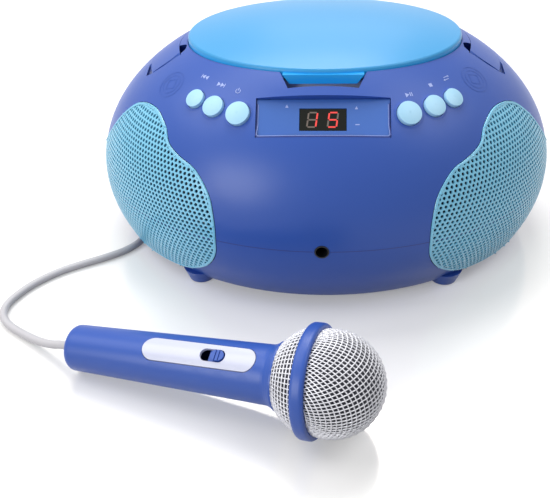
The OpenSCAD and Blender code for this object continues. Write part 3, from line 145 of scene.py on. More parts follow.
coil_out = coil_r + coil_pitch * loops


def wound(turn):
    """Point of the coil: inward in the lower layer, half a turn's climb, outward in the upper."""
    reach = coil_r + coil_pitch * max(loops - turn, turn - loops - climb, 0)
    angle = math.radians(360 * turn - 90)
    return Vector((coil_x + reach * math.cos(angle), coil_y + reach * math.sin(angle),
                   lead_z + coil_layer * max(0, min((turn - loops) / climb, 1))))


coil_in = Vector((coil_x - lead_d, coil_y - coil_out, lead_z))
coil_end = Vector((coil_x - .022, coil_y + coil_out, lead_z + coil_layer))
route = ([lead_exit, past_relief] + smooth_route(free_points, 4)
         + [coil_in - Vector((lead_d, 0, 0)), coil_in]
         + [wound(k / turn_steps) for k in range(int(turn_steps * (2 * loops + climb)) + 1)]
         + [coil_end + Vector((lead_d, 0, 0)), coil_end])
line = bpy.data.curves.new("microphone_lead", "CURVE")
line.dimensions = "3D"
line.bevel_depth = lead_d / 2
line.bevel_resolution = 4
line.use_fill_caps = True
spline = line.splines.new("POLY")
spline.points.add(len(route) - 1)
for point, at in zip(spline.points, route):
    point.co = (*at, 1)
spline.use_smooth = True
line.materials.append(jacket)
lead = bpy.data.objects.new("microphone_lead", line)
bpy.context.scene.collection.objects.link(lead)
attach(lead, "console")
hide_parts("mic_lead", "lead_coil")


# ---- Table, backdrop and lamps
# A white lacquered board reaches far behind the player, in a white room with large soft lamps.
# The camera and reflections see board and room bright, and the player gets dimmer light back.
def lay_on(piece, *finishes):
    """Puts the finishes on a piece, whose slots they replace."""
    piece.data.materials.clear()
    for one in finishes:
        piece.data.materials.append(one)


def seen_rays(tree):
    """1 for rays from the camera, a reflection or a clear piece, and 0 for all others."""
    path = add(tree, "ShaderNodeLightPath")
    seen = add(tree, "ShaderNodeMath", {
        0: path.outputs["Is Camera Ray"], 1: path.outputs["Is Glossy Ray"]}, operation="MAXIMUM")
    clear = add(tree, "ShaderNodeMath", {
        0: seen.outputs[0], 1: path.outputs["Is Transmission Ray"]}, operation="MAXIMUM")
    return clear.outputs[0]


bpy.ops.mesh.primitive_plane_add(size=6, location=(0, 0.6, -0.0001))
table = bpy.context.object
table.name = "table_sheet"
# Lacquered board: white and even, with a faint, soft reflection of what stands on it
white, tree, _ = new_finish("white_lacquered_board")
matt = add(tree, "ShaderNodeBsdfDiffuse", {"Color": tint("#F0EFEE")})
mirror = add(tree, "ShaderNodeBsdfGlossy", {"Color": tint("#EDE6DE"), "Roughness": 0.14})
board = add(tree, "ShaderNodeMixShader", {0: 0.16, 1: matt.outputs[0], 2: mirror.outputs[0]})
glow = add(tree, "ShaderNodeEmission", {"Color": (1, 1, 1, 1), "Strength": 0.24})
lit_board = add(tree, "ShaderNodeAddShader", {0: board.outputs[0], 1: glow.outputs[0]})
dim_board = add(tree, "ShaderNodeBsdfDiffuse", {"Color": tint("#9A9A9E")})
both = add(tree, "ShaderNodeMixShader", {
    0: seen_rays(tree), 1: dim_board.outputs[0], 2: lit_board.outputs[0]})
add(tree, "ShaderNodeOutputMaterial", {"Surface": both.outputs[0]})
lay_on(table, white)

world = bpy.data.worlds.new("studio")
bpy.context.scene.world = world
world.use_nodes = True
world.node_tree.nodes.clear()
tree = world.node_tree
soft = add(tree, "ShaderNodeBackground", {"Color": (1, 1, 1, 1), "Strength": 0.30})
bright = add(tree, "ShaderNodeBackground", {"Color": (1, 1, 1, 1), "Strength": 1.0})
mixed = add(tree, "ShaderNodeMixShader", {
    0: seen_rays(tree), 1: soft.outputs[0], 2: bright.outputs[0]})
add(tree, "ShaderNodeOutputWorld", {"Surface": mixed.outputs[0]})

for name, at, size, power, aim in (
        ("left_lamp", (-0.93, 0.0, 1.32), 0.9, 7.5, (0, 0, 0.06)),
        ("right_lamp", (0.90, -0.12, 1.34), 0.9, 6.5, (0, 0, 0.06)),
        ("rear_lamp", (-0.1, 0.8, 1.5), 0.9, 17, (0, 0, 0.04)),
        ("low_rear_lamp", (0.05, 1.3, 0.95), 0.6, 1.2, (0, 0, 0.12)),
        ("window_lamp", (-0.80, -1.0, 0.50), 0.6, 7, (0, 0, 0.07))):
    bpy.ops.object.light_add(type="AREA", location=at)
    lamp = bpy.context.object
    lamp.name = name
    lamp.data.size = size
    lamp.data.energy = power
    lamp.rotation_euler = (Vector(aim) - Vector(at)).to_track_quat("-Z", "Y").to_euler()
bpy.context.scene.view_settings.view_transform = "Standard"


# ---- Case, handle and battery door
# Two moulded shells that meet at the parting line, a hollow handle that swings on two pins,
# and a sliding door in the floor, all of one blue plastic.

# Gloss ABS: a polished tool leaves broad, soft highlights over a faint orange-peel skin
case_plastic = moulded("gloss_abs_royal_blue", "#2E58B0", "#3253A8", 0.36, grain=0.0014,
                       depth=0.000002, patch=0.12, spread=0.02, gloss=0.36)
for name in ("top_case", "bottom_case", "battery_door", "carry_handle"):
    lay_on(nodes[name], case_plastic)

# The shells' edges are broken, so a dark hairline shows where they meet. It stops at the
# microphone's socket, which sits in it
case_rx, case_ry, parting_z, dome_h = 0.140, 0.117, 0.0435, 0.094
seam_h, seam_proud, seam_deep, socket_half = 0.00044, 0.00004, 0.0012, 0.0055
# The same ABS in the shade of the gap: a deeper, duller blue
gap_dark = moulded("shadow_gap_abs", "#26347C", "#2A3A84", 0.5)
bpy.ops.mesh.primitive_circle_add(vertices=192, radius=1, location=(0, 0, parting_z - seam_h / 2))
seam = bpy.context.object
seam.name = "case_parting_line"
seam.scale = (case_rx + seam_proud, case_ry + seam_proud, 1)
bpy.ops.object.transform_apply(location=True, rotation=True, scale=True)
bpy.ops.object.mode_set(mode="EDIT")
bpy.ops.mesh.select_all(action="SELECT")
bpy.ops.mesh.extrude_region_move(TRANSFORM_OT_translate={"value": (0, 0, seam_h)})
bpy.ops.mesh.select_all(action="SELECT")
bpy.ops.mesh.normals_make_consistent(inside=False)
bpy.ops.object.mode_set(mode="OBJECT")


def applied(piece, kind, **settings):
    """Adds a modifier with its settings and applies it."""
    bpy.context.view_layer.objects.active = piece
    made = piece.modifiers.new(kind.title(), kind)
    for key, value in settings.items():
        setattr(made, key, value)
    bpy.ops.object.modifier_apply(modifier=made.name)
    return piece


applied(seam, "SOLIDIFY", thickness=seam_deep, offset=-1)
socket_space = bmesh.new()
socket_space.from_mesh(seam.data)
bmesh.ops.delete(socket_space, geom=[face for face in socket_space.faces
                                     if abs(face.calc_center_median().x) < socket_half
                                     and face.calc_center_median().y < 0], context="FACES")
bmesh.ops.holes_fill(socket_space, edges=socket_space.edges, sides=4)
socket_space.to_mesh(seam.data)
socket_space.free()
lay_on(seam, gap_dark)
bpy.ops.object.shade_smooth_by_angle(angle=math.radians(40))
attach(seam, "console")
bpy.ops.object.select_all(action="DESELECT")


# ---- Lid
# Oval shell over the disc, moulded in one piece with its rolled rim, the finger tab in front
# and the two hinge arms at the back.

# Gloss styrene in sky blue, with a deeper azure painted down its sides and tab as shade,
# where they turn away from the light
lid_plastic = moulded("gloss_styrene_sky_blue", "#3A9AD4", "#449FD8", 0.28, ior=1.57, grain=0.0016,
                      depth=0.0000003, patch=0.10, spread=0.01, gloss=0.2)
sides_top, crown_foot = 0.1216, 0.1228
tree = lid_plastic.node_tree
surface = next(node for node in tree.nodes if node.type == "BSDF_PRINCIPLED")
lid_top_blue = surface.inputs["Base Color"].links[0].from_socket
place = next(node for node in tree.nodes if node.type == "TEX_COORD").outputs["Object"]
# Painted shade: below the crown's foot the sides and tab turn a deeper azure
height = add(tree, "ShaderNodeSeparateXYZ", {"Vector": place})
above_painted_shade = add(tree, "ShaderNodeMapRange", {
    "Value": height.outputs["Z"], "From Min": sides_top, "From Max": crown_foot})
painted_side_shade = add(tree, "ShaderNodeMix", {0: above_painted_shade.outputs["Result"], 6: tint("#24A4EE"), 7: lid_top_blue},
           data_type="RGBA")
tree.links.new(painted_side_shade.outputs[2], surface.inputs["Base Color"])
lay_on(nodes["cd_lid"], lid_plastic)


# ---- Push buttons
# Six domed caps, each moulded in one piece with the stem that presses a switch behind it. A cap
# is slimmer than its hole in the case, which a turned-in collar closes round it.

# Satin ABS in icy blue: rounder, softer highlights than the case's
key_plastic = moulded("satin_abs_ice_blue", "#A4D6F2", "#AEDCF6", 0.34, grain=0.0009,
                      depth=0.000005, gloss=0.4)


def case_out(at):
    """The way square out of the case's curve at a point of it."""
    return Vector((at.x / case_rx ** 2, at.y / case_ry ** 2,
                   (at.z - parting_z) / dome_h ** 2)).normalized()


def case_share(at, proud=0.0):
    """How far out a point lies: 1 on the case's curve, or on that curve grown by so much."""
    return math.sqrt((at.x / (case_rx + proud)) ** 2 + (at.y / (case_ry + proud)) ** 2
                     + ((at.z - parting_z) / (dome_h + proud)) ** 2)


def only(piece):
    """Selects one piece alone."""
    bpy.ops.object.select_all(action="DESELECT")
    piece.select_set(True)
    bpy.context.view_layer.objects.active = piece


def skin_between(name, loops):
    """Tube of four-sided faces, shaped to a row of closed lines with equal counts of points."""
    count = len(loops[0])
    bpy.ops.object.select_all(action="DESELECT")
    bpy.ops.mesh.primitive_circle_add(vertices=count, radius=1)
    made = bpy.context.object
    made.name = name
    bpy.ops.object.mode_set(mode="EDIT")
    bpy.ops.mesh.select_all(action="SELECT")
    for _ in loops[1:]:
        bpy.ops.mesh.extrude_edges_move(TRANSFORM_OT_translate={"value": (0, 0, 1)})
    bpy.ops.object.mode_set(mode="OBJECT")
    for point in made.data.vertices:
        spot = round(math.atan2(-point.co.x, point.co.y) / (2 * math.pi) * count) % count
        point.co = loops[round(point.co.z)][spot]
    return made


def turned_outward(piece, centre):
    """Merges a skin's doubles and turns its faces away from a point inside the object."""
    only(piece)
    bpy.ops.object.mode_set(mode="EDIT")
    bpy.ops.mesh.select_all(action="SELECT")
    bpy.ops.mesh.remove_doubles(threshold=0.00001)
    bpy.ops.mesh.normals_make_consistent(inside=False)
    bpy.ops.object.mode_set(mode="OBJECT")
    lean = sum(face.normal.dot(face.center - Vector(centre)) * face.area
               for face in piece.data.polygons)
    if lean < 0:
        bpy.ops.object.mode_set(mode="EDIT")
        bpy.ops.mesh.select_all(action="SELECT")
        bpy.ops.mesh.flip_normals()
        bpy.ops.object.mode_set(mode="OBJECT")


case_core = Vector((0, 0, parting_z))
slimmer, button_gap = 0.87, 0.0004
cap_gap, lip, lap, edge_r = 0.0002, 0.00015, 0.0005, 0.0002
collar_deep, relief_deep = 0.0014, 0.0012
for word, side, turn, rise, wide in (
        ("previous", -1, 42.2, 42.7, 0.0122), ("next", -1, 34.2, 42.0, 0.0136),
        ("power", -1, 25.2, 41.4, 0.0150), ("play", 1, 25.2, 41.4, 0.0150),
        ("stop", 1, 34.2, 42.0, 0.0136), ("mode", 1, 42.2, 42.7, 0.0122)):
    turn, rise = math.radians(side * turn), math.radians(rise)
    middle = Vector((case_rx * math.cos(rise) * math.sin(turn),
                     -case_ry * math.cos(rise) * math.cos(turn),
                     parting_z + dome_h * math.sin(rise)))
    out = case_out(middle)
    cap = bpy.data.objects.new(word + "_cap", nodes[word + "_button"].data.copy())
    bpy.context.scene.collection.objects.link(cap)
    only(cap)
    bpy.ops.object.mode_set(mode="EDIT")
    bpy.ops.mesh.select_all(action="SELECT")
    bpy.ops.mesh.remove_doubles(threshold=0.000002)
    bpy.ops.object.mode_set(mode="OBJECT")
    for point in cap.data.vertices:
        off = point.co - middle
        along = out * off.dot(out)
        point.co = middle + along + (off - along) * slimmer
    lay_on(cap, key_plastic)
    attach(cap, word + "_button")
    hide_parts(word + "_button")
    first = Vector((0, 0, 1)).cross(out).normalized()
    second, hole = out.cross(first), wide / 2 + button_gap
    small = slimmer * wide / 2 + cap_gap
    # The collar's section: how far each corner is from the button's middle and above the case
    section = ((small, -collar_deep), (small, -edge_r), (small + lip, 0.00002),
               (hole + lap - edge_r, 0.00004), (hole + lap, -0.00003), (hole + lap, -relief_deep),
               (small, -collar_deep))
    rings = []
    for reach, lift in section:
        spots = [middle + reach * (math.cos(a) * first + math.sin(a) * second)
                 for a in (2 * math.pi * k / 64 for k in range(64))]
        rings.append([case_core + (spot - case_core) / case_share(spot) + out * lift
                      for spot in spots])
    collar = skin_between(word + "_collar", rings)
    turned_outward(collar, middle - out * 0.0007)
    lay_on(collar, case_plastic)
    bpy.ops.object.shade_smooth_by_angle(angle=math.radians(40))
    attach(collar, "console")


# ---- Speaker grilles
# Moulded skins that follow the case's curve, with a staggered field of small round holes and
# a plain rim that sits in the case's opening. The speakers stand close behind them.

# Satin ABS in pale azure: each web between the holes catches a small, bright highlight
grille_plastic = moulded("satin_abs_azure", "#72C6E8", "#7CCCEC", 0.30, grain=0.0008,
                         depth=0.000003, gloss=0.9)
speaker_turn, hole_pitch, hole_d = math.radians(52), 0.00272, 0.00182
field_proud, field_thick, rim_proud, rim_thick = 0.0003, 0.0010, 0.0005, 0.0014
# The outline seen along the speaker's axis: millimetres across and up from the case's middle
outline_points = [
    (15, 98.4), (0, 93.8), (-8.5, 87.4), (-18.5, 83.5), (-31, 79.4), (-42, 69.5), (-47, 58),
    (-48.6, 46), (-47, 33), (-38, 21.2), (-21, 12.6), (5, 10), (35, 10.5), (60, 15),
    (78, 27), (86, 42), (80, 54), (67, 63.5), (56, 74), (46, 86), (33, 96)]


def closed_loop(points, steps):
    """Smooth closed line through the points."""
    ring, count = [], len(points)
    for i in range(count):
        p0, p1, p2, p3 = (Vector(points[(i + k) % count]) for k in (-1, 0, 1, 2))
        for k in range(steps):
            t = k / steps
            ring.append(0.5 * (2 * p1 + (p2 - p0) * t + (2 * p0 - 5 * p1 + 4 * p2 - p3) * t * t
                               + (3 * p1 - p0 - 3 * p2 + p3) * t ** 3))
    return ring


def inside(ring, u, v):
    """True where (u, v) lies inside a closed line."""
    hits = 0
    for a, b in zip(ring, ring[1:] + ring[:1]):
        if (a[1] > v) != (b[1] > v) and u < (b[0] - a[0]) * (v - a[1]) / (b[1] - a[1]) + a[0]:
            hits += 1
    return hits % 2 == 1


def kept_in(ring, u, v):
    """The point itself, or the nearest one on the closed line where it lies outside."""
    if inside(ring, u, v):
        return u, v
    at, best = Vector((u, v)), None
    for a, b in zip(ring, ring[1:] + ring[:1]):
        share = (at - a).dot(b - a) / max((b - a).length_squared, 1e-12)
        spot = a + (b - a) * max(0, min(1, share))
        if best is None or (spot - at).length < (best - at).length:
            best = spot
    return best[0], best[1]


def inset(ring, by):
    """The closed line moved inward, square to itself."""
    moved = []
    for i, p in enumerate(ring):
        along = (ring[(i + 1) % len(ring)] - ring[i - 1]).normalized()
        moved.append(p + by * Vector((-along[1], along[0])))
    return moved


def on_case(u, v, proud, side):
    """Point of the case's curve seen along the speaker's axis, given across and up, in metres."""
    ca, sa = math.cos(speaker_turn), math.sin(speaker_turn)
    rx, ry, rz = case_rx + proud, case_ry + proud, dome_h + proud
    origin, aim = np.array((u * ca, u * sa, v - parting_z)), np.array((sa, -ca, 0))
    o, d = origin / (rx, ry, rz), aim / (rx, ry, rz)
    a, b, c = d @ d, 2 * o @ d, o @ o - 1
    at = origin + aim * (-b + math.sqrt(max(b * b - 4 * a * c, 0))) / (2 * a)
    return case_core + Vector((side * at[0], at[1], at[2]))


def perforated(side, name):
    """Field of holes cut by the outline, then bent onto the case and given its thickness."""
    row_step, lowest = hole_pitch * math.sqrt(3) / 2, 0.008
    edge = closed_loop([(a / 1000, b / 1000) for a, b in outline_points], 6)
    margin, border = inset(edge, 0.0004), inset(edge, 0.0006)
    # One hole: a round inner edge, and an outer one drawn out to the six sides of its cell
    bpy.ops.mesh.primitive_circle_add(vertices=12, radius=hole_d / 2)
    cell = bpy.context.object
    bpy.ops.object.mode_set(mode="EDIT")
    bpy.ops.mesh.select_all(action="SELECT")
    bpy.ops.mesh.extrude_edges_move()
    bpy.ops.transform.resize(value=(1.45, 1.45, 1))
    bpy.ops.object.mode_set(mode="OBJECT")
    for point in cell.data.vertices:
        if point.co.length > hole_d * 0.6:
            turn = math.atan2(point.co.y, point.co.x)
            reach = hole_pitch / 2 / math.cos((turn + math.pi / 6) % (math.pi / 3) - math.pi / 6)
            point.co = (reach * math.cos(turn), reach * math.sin(turn), 0)
    source = [(v.co.x, v.co.y) for v in cell.data.vertices]
    faces = [list(f.vertices) for f in cell.data.polygons]
    bpy.data.objects.remove(cell)
    spots = [((column + (row % 2) / 2) * hole_pitch, lowest + row * row_step)
             for row in range(42) for column in range(-22, 36)]
    spots = [spot for spot in spots if inside(margin, *spot)]
    points, skins = [], []
    for u, v in spots:
        first = len(points)
        points += [kept_in(border, u + x, v + y) for x, y in source]
        skins += [[first + k for k in face] for face in faces]
    mesh = bpy.data.meshes.new(name)
    mesh.from_pydata([on_case(u, v, field_proud, side) for u, v in points], [], skins)
    field = bpy.data.objects.new(name, mesh)
    bpy.context.scene.collection.objects.link(field)
    return field, edge


for side, word in ((-1, "left"), (1, "right")):
    field, edge = perforated(side, "grille_holes_" + word)
    turned_outward(field, (0, 0, 0.045))
    applied(field, "SOLIDIFY", thickness=field_thick, offset=-1)
    rim = skin_between("grille_rim_" + word, [
        [on_case(u, v, rim_proud - drop, side) for u, v in inset(edge, by)]
        for by, drop in ((0.0003, 0.0005), (0.0004, 0.0001), (0.0006, 0), (0.0012, 0),
                         (0.0014, 0.0001), (0.0015, 0.0005))])
    turned_outward(rim, (0, 0, 0.045))
    applied(rim, "SOLIDIFY", thickness=rim_thick, offset=-1)
    for piece in (field, rim):
        only(piece)
        bpy.ops.object.shade_smooth_by_angle(angle=math.radians(35))
        lay_on(piece, grille_plastic)
        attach(piece, "console")
    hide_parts("speaker_grille_" + word)

# Doped paper cone: dark, fibrous and quite matt
cone_paper = moulded("doped_paper_cone", "#1E1F23", "#26272C", 0.75, grain=0.0012, depth=0.0001)
# Matt ABS baffle: nearly black, with a painted blue cast that stands for the light the grille in
# front of it throws back
black_abs_painted_blue = moulded("matt_black_abs_painted_blue_cast", "#122C40", "#173448", 0.6)
# Zinc-plated pressed steel: a bright grey metal with a slightly blurred shine
zinc_plate = moulded("zinc_plated_steel", "#B4B8BE", "#A4A9B2", 0.3, metallic=1.0, grain=0.0015)
for word in ("left", "right"):
    lay_on(nodes["speaker_cone_" + word], cone_paper)
    lay_on(nodes["speaker_baffle_" + word], black_abs_painted_blue)
    lay_on(nodes["speaker_frame_" + word], zinc_plate)


# ---- Marks beside the buttons
# Common transport signs, pad-printed in one pale ink that lies a few hundredths of a
# millimetre proud of the case.

# Pad-printing ink: thin, matt, slightly uneven in its cover. It also paints the highlight along the
# bezel's edge
print_ink_and_highlight = moulded("pale_print_ink_and_painted_highlight", "#A9B8EA", "#98A9E2", 0.55, grain=0.0004, depth=0.000004)


def flat_shape(kind, x, y, w, h, turn=0.0):
    """A flat bar or wedge, given by its middle, size and turn, in millimetres on a plane."""
    if kind == "bar":
        bpy.ops.mesh.primitive_plane_add(size=1)
        bpy.ops.object.mode_set(mode="EDIT")
        bpy.ops.mesh.subdivide(number_cuts=2)
        bpy.ops.object.mode_set(mode="OBJECT")
    else:
        bpy.ops.mesh.primitive_circle_add(vertices=3, radius=2 / 3, fill_type="NGON",
                                          rotation=(0, 0, -math.pi / 2))
        bpy.ops.object.transform_apply(rotation=True)
    made = bpy.context.object
    made.scale = (w, h, 1)
    made.rotation_euler = (0, 0, turn)
    made.location = (x, y, 0)
    bpy.ops.object.transform_apply(location=True, rotation=True, scale=True)
    return made


def joined(name, shapes):
    """One piece from several."""
    bpy.ops.object.select_all(action="DESELECT")
    for shape in shapes:
        shape.select_set(True)
    bpy.context.view_layer.objects.active = shapes[0]
    if len(shapes) > 1:
        bpy.ops.object.join()
    shapes[0].name = name
    return shapes[0]


def case_height(x, y):
    """Height of the case's dome at a place in plan, in metres."""
    return parting_z + dome_h * math.sqrt(max(1 - (x / case_rx) ** 2 - (y / case_ry) ** 2, 0))


# The case's mean reach, which turns a share of its size into metres
mean_reach = 0.09


def print_on_case(name, shapes, x, y, turn=0.0, proud=0.00006):
    """Joins flat shapes and lays them on the dome at a place, with their top toward the lid."""
    piece = joined(name, shapes)
    at = Vector((x, y, case_height(x, y)))
    out = case_out(at)
    side_way = Vector((0, 0, 1)).cross(out).normalized()
    rise = out.cross(side_way)
    first = math.cos(turn) * side_way + math.sin(turn) * rise
    second = -math.sin(turn) * side_way + math.cos(turn) * rise
    for point in piece.data.vertices:
        spot = at + first * point.co.x / 1000 + second * point.co.y / 1000
        for _ in range(4):
            spot = spot - out * (case_share(spot, proud) - 1) * mean_reach
        point.co = spot
    lay_on(piece, print_ink_and_highlight)
    turned_outward(piece, (0, 0, 0.045))
    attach(piece, "console")
    return piece


print_on_case("previous_mark", [
    flat_shape("bar", -2.9, 0, 0.45, 2.6), flat_shape("wedge", -1.2, 0, 2.2, 2.4, math.pi),
    flat_shape("wedge", 1.2, 0, 2.2, 2.4, math.pi)], -0.0645, -0.0524)
print_on_case("next_mark", [
    flat_shape("wedge", -1.2, 0, 2.2, 2.4), flat_shape("wedge", 1.2, 0, 2.2, 2.4),
    flat_shape("bar", 2.9, 0, 0.45, 2.6)], -0.0556, -0.0608)
power = [flat_shape("bar", 1.3 * math.sin(a), 1.3 * math.cos(a), 0.62, 0.4, -a)
         for a in (math.radians(50 + 20 * k) for k in range(14))]
print_on_case("power_mark", power + [flat_shape("bar", 0, 1.1, 0.4, 1.7)], -0.0454, -0.0678)
print_on_case("play_mark", [
    flat_shape("wedge", -1.3, 0, 2.2, 2.4), flat_shape("bar", 0.7, 0, 0.5, 2.3),
    flat_shape("bar", 1.7, 0, 0.5, 2.3)], 0.0451, -0.0701)
print_on_case("stop_mark", [flat_shape("bar", 0, 0, 2.1, 2.1)], 0.0571, -0.0611)
print_on_case("mode_mark", [
    flat_shape("bar", 0, 0.8, 3.0, 0.4), flat_shape("bar", 0, -0.8, 3.0, 0.4),
    flat_shape("wedge", 1.9, 0.8, 1.0, 1.3), flat_shape("wedge", -1.9, -0.8, 1.0, 1.3, math.pi)],
    0.0663, -0.0530)


# ---- Moulded ornaments
# Two rings round a square on its corner, moulded as ridges a tenth of a millimetre high on
# each side of the lid, in the case's own plastic.
outer_r, inner_r, square_half, square_side = 8.4, 6.0, 3.0, 6.2
ridge_h, ornament_turn = 0.00012, 0.3
for side, word, x, y in ((-1, "left", -0.0857, -0.0450), (1, "right", 0.0834, -0.0440)):
    ridges = []
    for radius, count, long, wide in ((outer_r, 48, 1.2, 0.35), (inner_r, 44, 0.9, 0.3)):
        ridges += [flat_shape("bar", radius * math.sin(a), radius * math.cos(a), long, wide, -a)
                   for a in (2 * math.pi * k / count for k in range(count))]
    ridges += [flat_shape("bar", square_half * math.cos(a), square_half * math.sin(a), 0.35,
                          square_side, a) for a in (math.radians(45 + 90 * k) for k in range(4))]
    piece = print_on_case("ornament_" + word, ridges, x, y, side * ornament_turn, proud=ridge_h)
    lay_on(piece, case_plastic)


# ---- Display
# A sloping blue bezel with a dark acrylic window over two red seven-segment digits. Small
# pointers are printed on the bezel, and a fine step round its edge is drawn as a painted shadow line
# and a painted highlight.

# Gloss ABS, a shade lighter than the case, because the bezel leans toward the light
bezel_plastic = moulded("gloss_abs_bezel_blue", "#3A67BB", "#3F6BB6", 0.34, grain=0.0014,
                        depth=0.000002)
lay_on(nodes["display_panel"], bezel_plastic)
# Smoked acrylic: polished and nearly black
smoked = moulded("smoked_acrylic", "#131510", "#191C16", 0.10, ior=1.49, depth=0.000002, gloss=0.2)
lay_on(nodes["display_window"], smoked)
panel_tilt, panel_y, panel_half_w, panel_half_h = math.radians(40.4), -0.0829, 0.035, 0.0109
slope = Vector((0, math.cos(panel_tilt), math.sin(panel_tilt)))
face_out = Vector((0, -math.sin(panel_tilt), math.cos(panel_tilt)))
panel_at = Vector((0, panel_y, case_height(panel_half_w, panel_y)))
bezel_face, window_face, window_drop, line_proud = -0.00174, -0.00204, -0.0006, 1.0008


def set_in_panel(name, shapes, x, y, lift, finish):
    """Joins flat shapes and sets them on the bezel, or on the case where it covers the bezel."""
    piece = joined(name, shapes)
    for point in piece.data.vertices:
        spot = (panel_at + Vector((1, 0, 0)) * (x + point.co.x / 1000)
                + slope * (y + point.co.y / 1000) + face_out * lift)
        share = case_share(spot)
        if share < line_proud and point.co.y < -5:
            spot = case_core + (spot - case_core) * (line_proud / share)
        point.co = spot
    turned_outward(piece, (0, 0, 0.045))
    lay_on(piece, finish)
    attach(piece, "console")
    return piece


diffuser_grain = 0.00111


def lamp_finish(name, colour, strength):
    """Lit segment, or an unlit one with a faint painted glow, behind the window, with a soft
    unevenness from its diffuser.
    """
    made, tree, place = new_finish(name)
    cloud = add(tree, "ShaderNodeTexNoise", {"Vector": place, "Scale": 1 / diffuser_grain})
    level = add(tree, "ShaderNodeMapRange", {
        "Value": cloud.outputs["Fac"], "To Min": strength * 0.8, "To Max": strength * 1.2})
    surface = add(tree, "ShaderNodeBsdfPrincipled", {
        "Base Color": tint("#2A0808"), "Roughness": 0.2, "Emission Color": tint(colour),
        "Emission Strength": level.outputs["Result"]})
    add(tree, "ShaderNodeOutputMaterial", {"Surface": surface.outputs["BSDF"]})
    return made


# Moulded epoxy segments: the lit ones glow a soft red, the others stay a dull pale grey, which a
# faint painted glow gives them though they are not lit
lit = lamp_finish("lit_red_segment", "#FF4A44", 1.1)
unlit_painted_glow = lamp_finish("unlit_segment_painted_glow", "#9C9488", 0.42)
# Each segment's place in its digit, in millimetres, and whether it stands upright
segments = {"a": (0, 4.1, 0), "b": (2.3, 2.05, 1), "c": (2.3, -2.05, 1), "d": (0, -4.1, 0),
            "e": (-2.3, -2.05, 1), "f": (-2.3, 2.05, 1), "g": (0, 0, 0)}
digit_lean, upright_size, level_size = 0.12, (0.85, 3.5), (3.8, 0.85)
for place_x, which, word in ((-0.0056, "bc", "tens"), (0.0052, "afgcd", "units")):
    for group, finish in ((which, lit), ("".join(k for k in segments if k not in which), unlit_painted_glow)):
        shapes = []
        for key in group:
            x, y, upright = segments[key]
            shapes.append(flat_shape("bar", x + digit_lean * y, y,
                                     *(upright_size if upright else level_size),
                                     -digit_lean if upright else 0))
        set_in_panel(("lit_" if finish is lit else "unlit_") + word, shapes, place_x, window_drop,
                     window_face, finish)

# A painted shadow line round the bezel and a painted highlight along the edge that it turns to the
# light, with round corners below. Short bars let the lines follow the case's curve where it covers
# the bezel
corner_r, line_parts = 1.2, 12
for word, finish, slot, inner, thick in (("shadow", gap_dark, "case", 0.35, 0.5),
                                         ("edge", print_ink_and_highlight, "button", 0.95, 0.22)):
    half_w, half_h = 1000 * panel_half_w - inner, 1000 * panel_half_h - inner
    step = 2 * (half_w - corner_r) / line_parts
    lines = [flat_shape("bar", (k - (line_parts - 1) / 2) * step, -half_h, step, thick)
             for k in range(line_parts)]
    for sign in (-1, 1):
        lines.append(flat_shape("bar", sign * half_w, -0.6, thick, 2 * half_h - 2.6))
        lines += [flat_shape("bar", sign * (half_w - corner_r + corner_r * math.cos(a)),
                             -half_h + corner_r - corner_r * math.sin(a), 0.34, thick,
                             -sign * (math.pi / 2 - a))
                  for a in (math.radians(6 + 13 * k) for k in range(7))]
    set_in_panel("bezel_" + word, lines, 0, 0, bezel_face, finish)
for word, x, y in (("left", -0.0190, 0.0068), ("right", 0.0175, 0.0058)):
    set_in_panel("pointer_" + word, [flat_shape("wedge", 0, 0, 1.8, 1.5, math.pi / 2)], x, y,
                 bezel_face, print_ink_and_highlight)
set_in_panel("pointer_dash", [flat_shape("bar", 0, 0, 2.2, 0.5)], 0.0180, -0.0035, bezel_face, print_ink_and_highlight)


# ---- Microphone
# A tapered hollow handle with a white switch plate, a blue ring, and a round basket of woven
# steel wire over a dark foam liner.
lay_on(nodes["mic_handle"], case_plastic)
lay_on(nodes["mic_switch"], case_plastic)
# Gloss white ABS insert, with a faint painted blue cast that stands for light from the blue handle
# round it
white_abs_painted_blue_cast = moulded("gloss_white_abs", "#D0D3E6", "#C9CDE2", 0.25, depth=0.000006)
lay_on(nodes["mic_switch_plate"], white_abs_painted_blue_cast)
lay_on(nodes["mic_strain_relief"], jacket)
# The capsule takes the baffle's black, with its painted blue cast
lay_on(nodes["mic_capsule"], black_abs_painted_blue)

# It rests on its ring and on the handle's end, so it slants. Its own frame has Z along the
# handle toward the head, from the ring's middle
head_r, head_reach, ring_half, ring_r, ring_inner = 0.025, 0.008, 0.0032, 0.027, 0.0243
handle_reach, tail_r, ring_foot = 0.131, 0.0119, 0.0025
slant, heading = math.atan((ring_r - tail_r) / (handle_reach - ring_foot)), math.radians(16.9)
mic_lift = ring_r * math.cos(slant) + ring_foot * math.sin(slant)
mic_frame = (Matrix.Translation((-0.0027, -0.197, mic_lift))
             @ Matrix.Rotation(-heading, 4, "Z") @ Matrix.Rotation(math.pi / 2 - slant, 4, "Y"))
wire_pitch, wire_d, wire_in, wave, liner_in = 0.0023, 0.00092, 0.0005, 0.00016, 0.0017

# Tinned steel wire: bright, soft highlights that break up from wire to wire
wire = moulded("tinned_steel_wire", "#F0F0F6", "#E4E5EC", 0.30, metallic=0.25, grain=0.0009,
               depth=0.00001)
# Open-cell foam: a soft dark grey that swallows the light behind the wires
foam = moulded("open_cell_foam", "#4C4D58", "#40414A", 0.95, grain=0.0012, depth=0.0004, sheen=0.4)

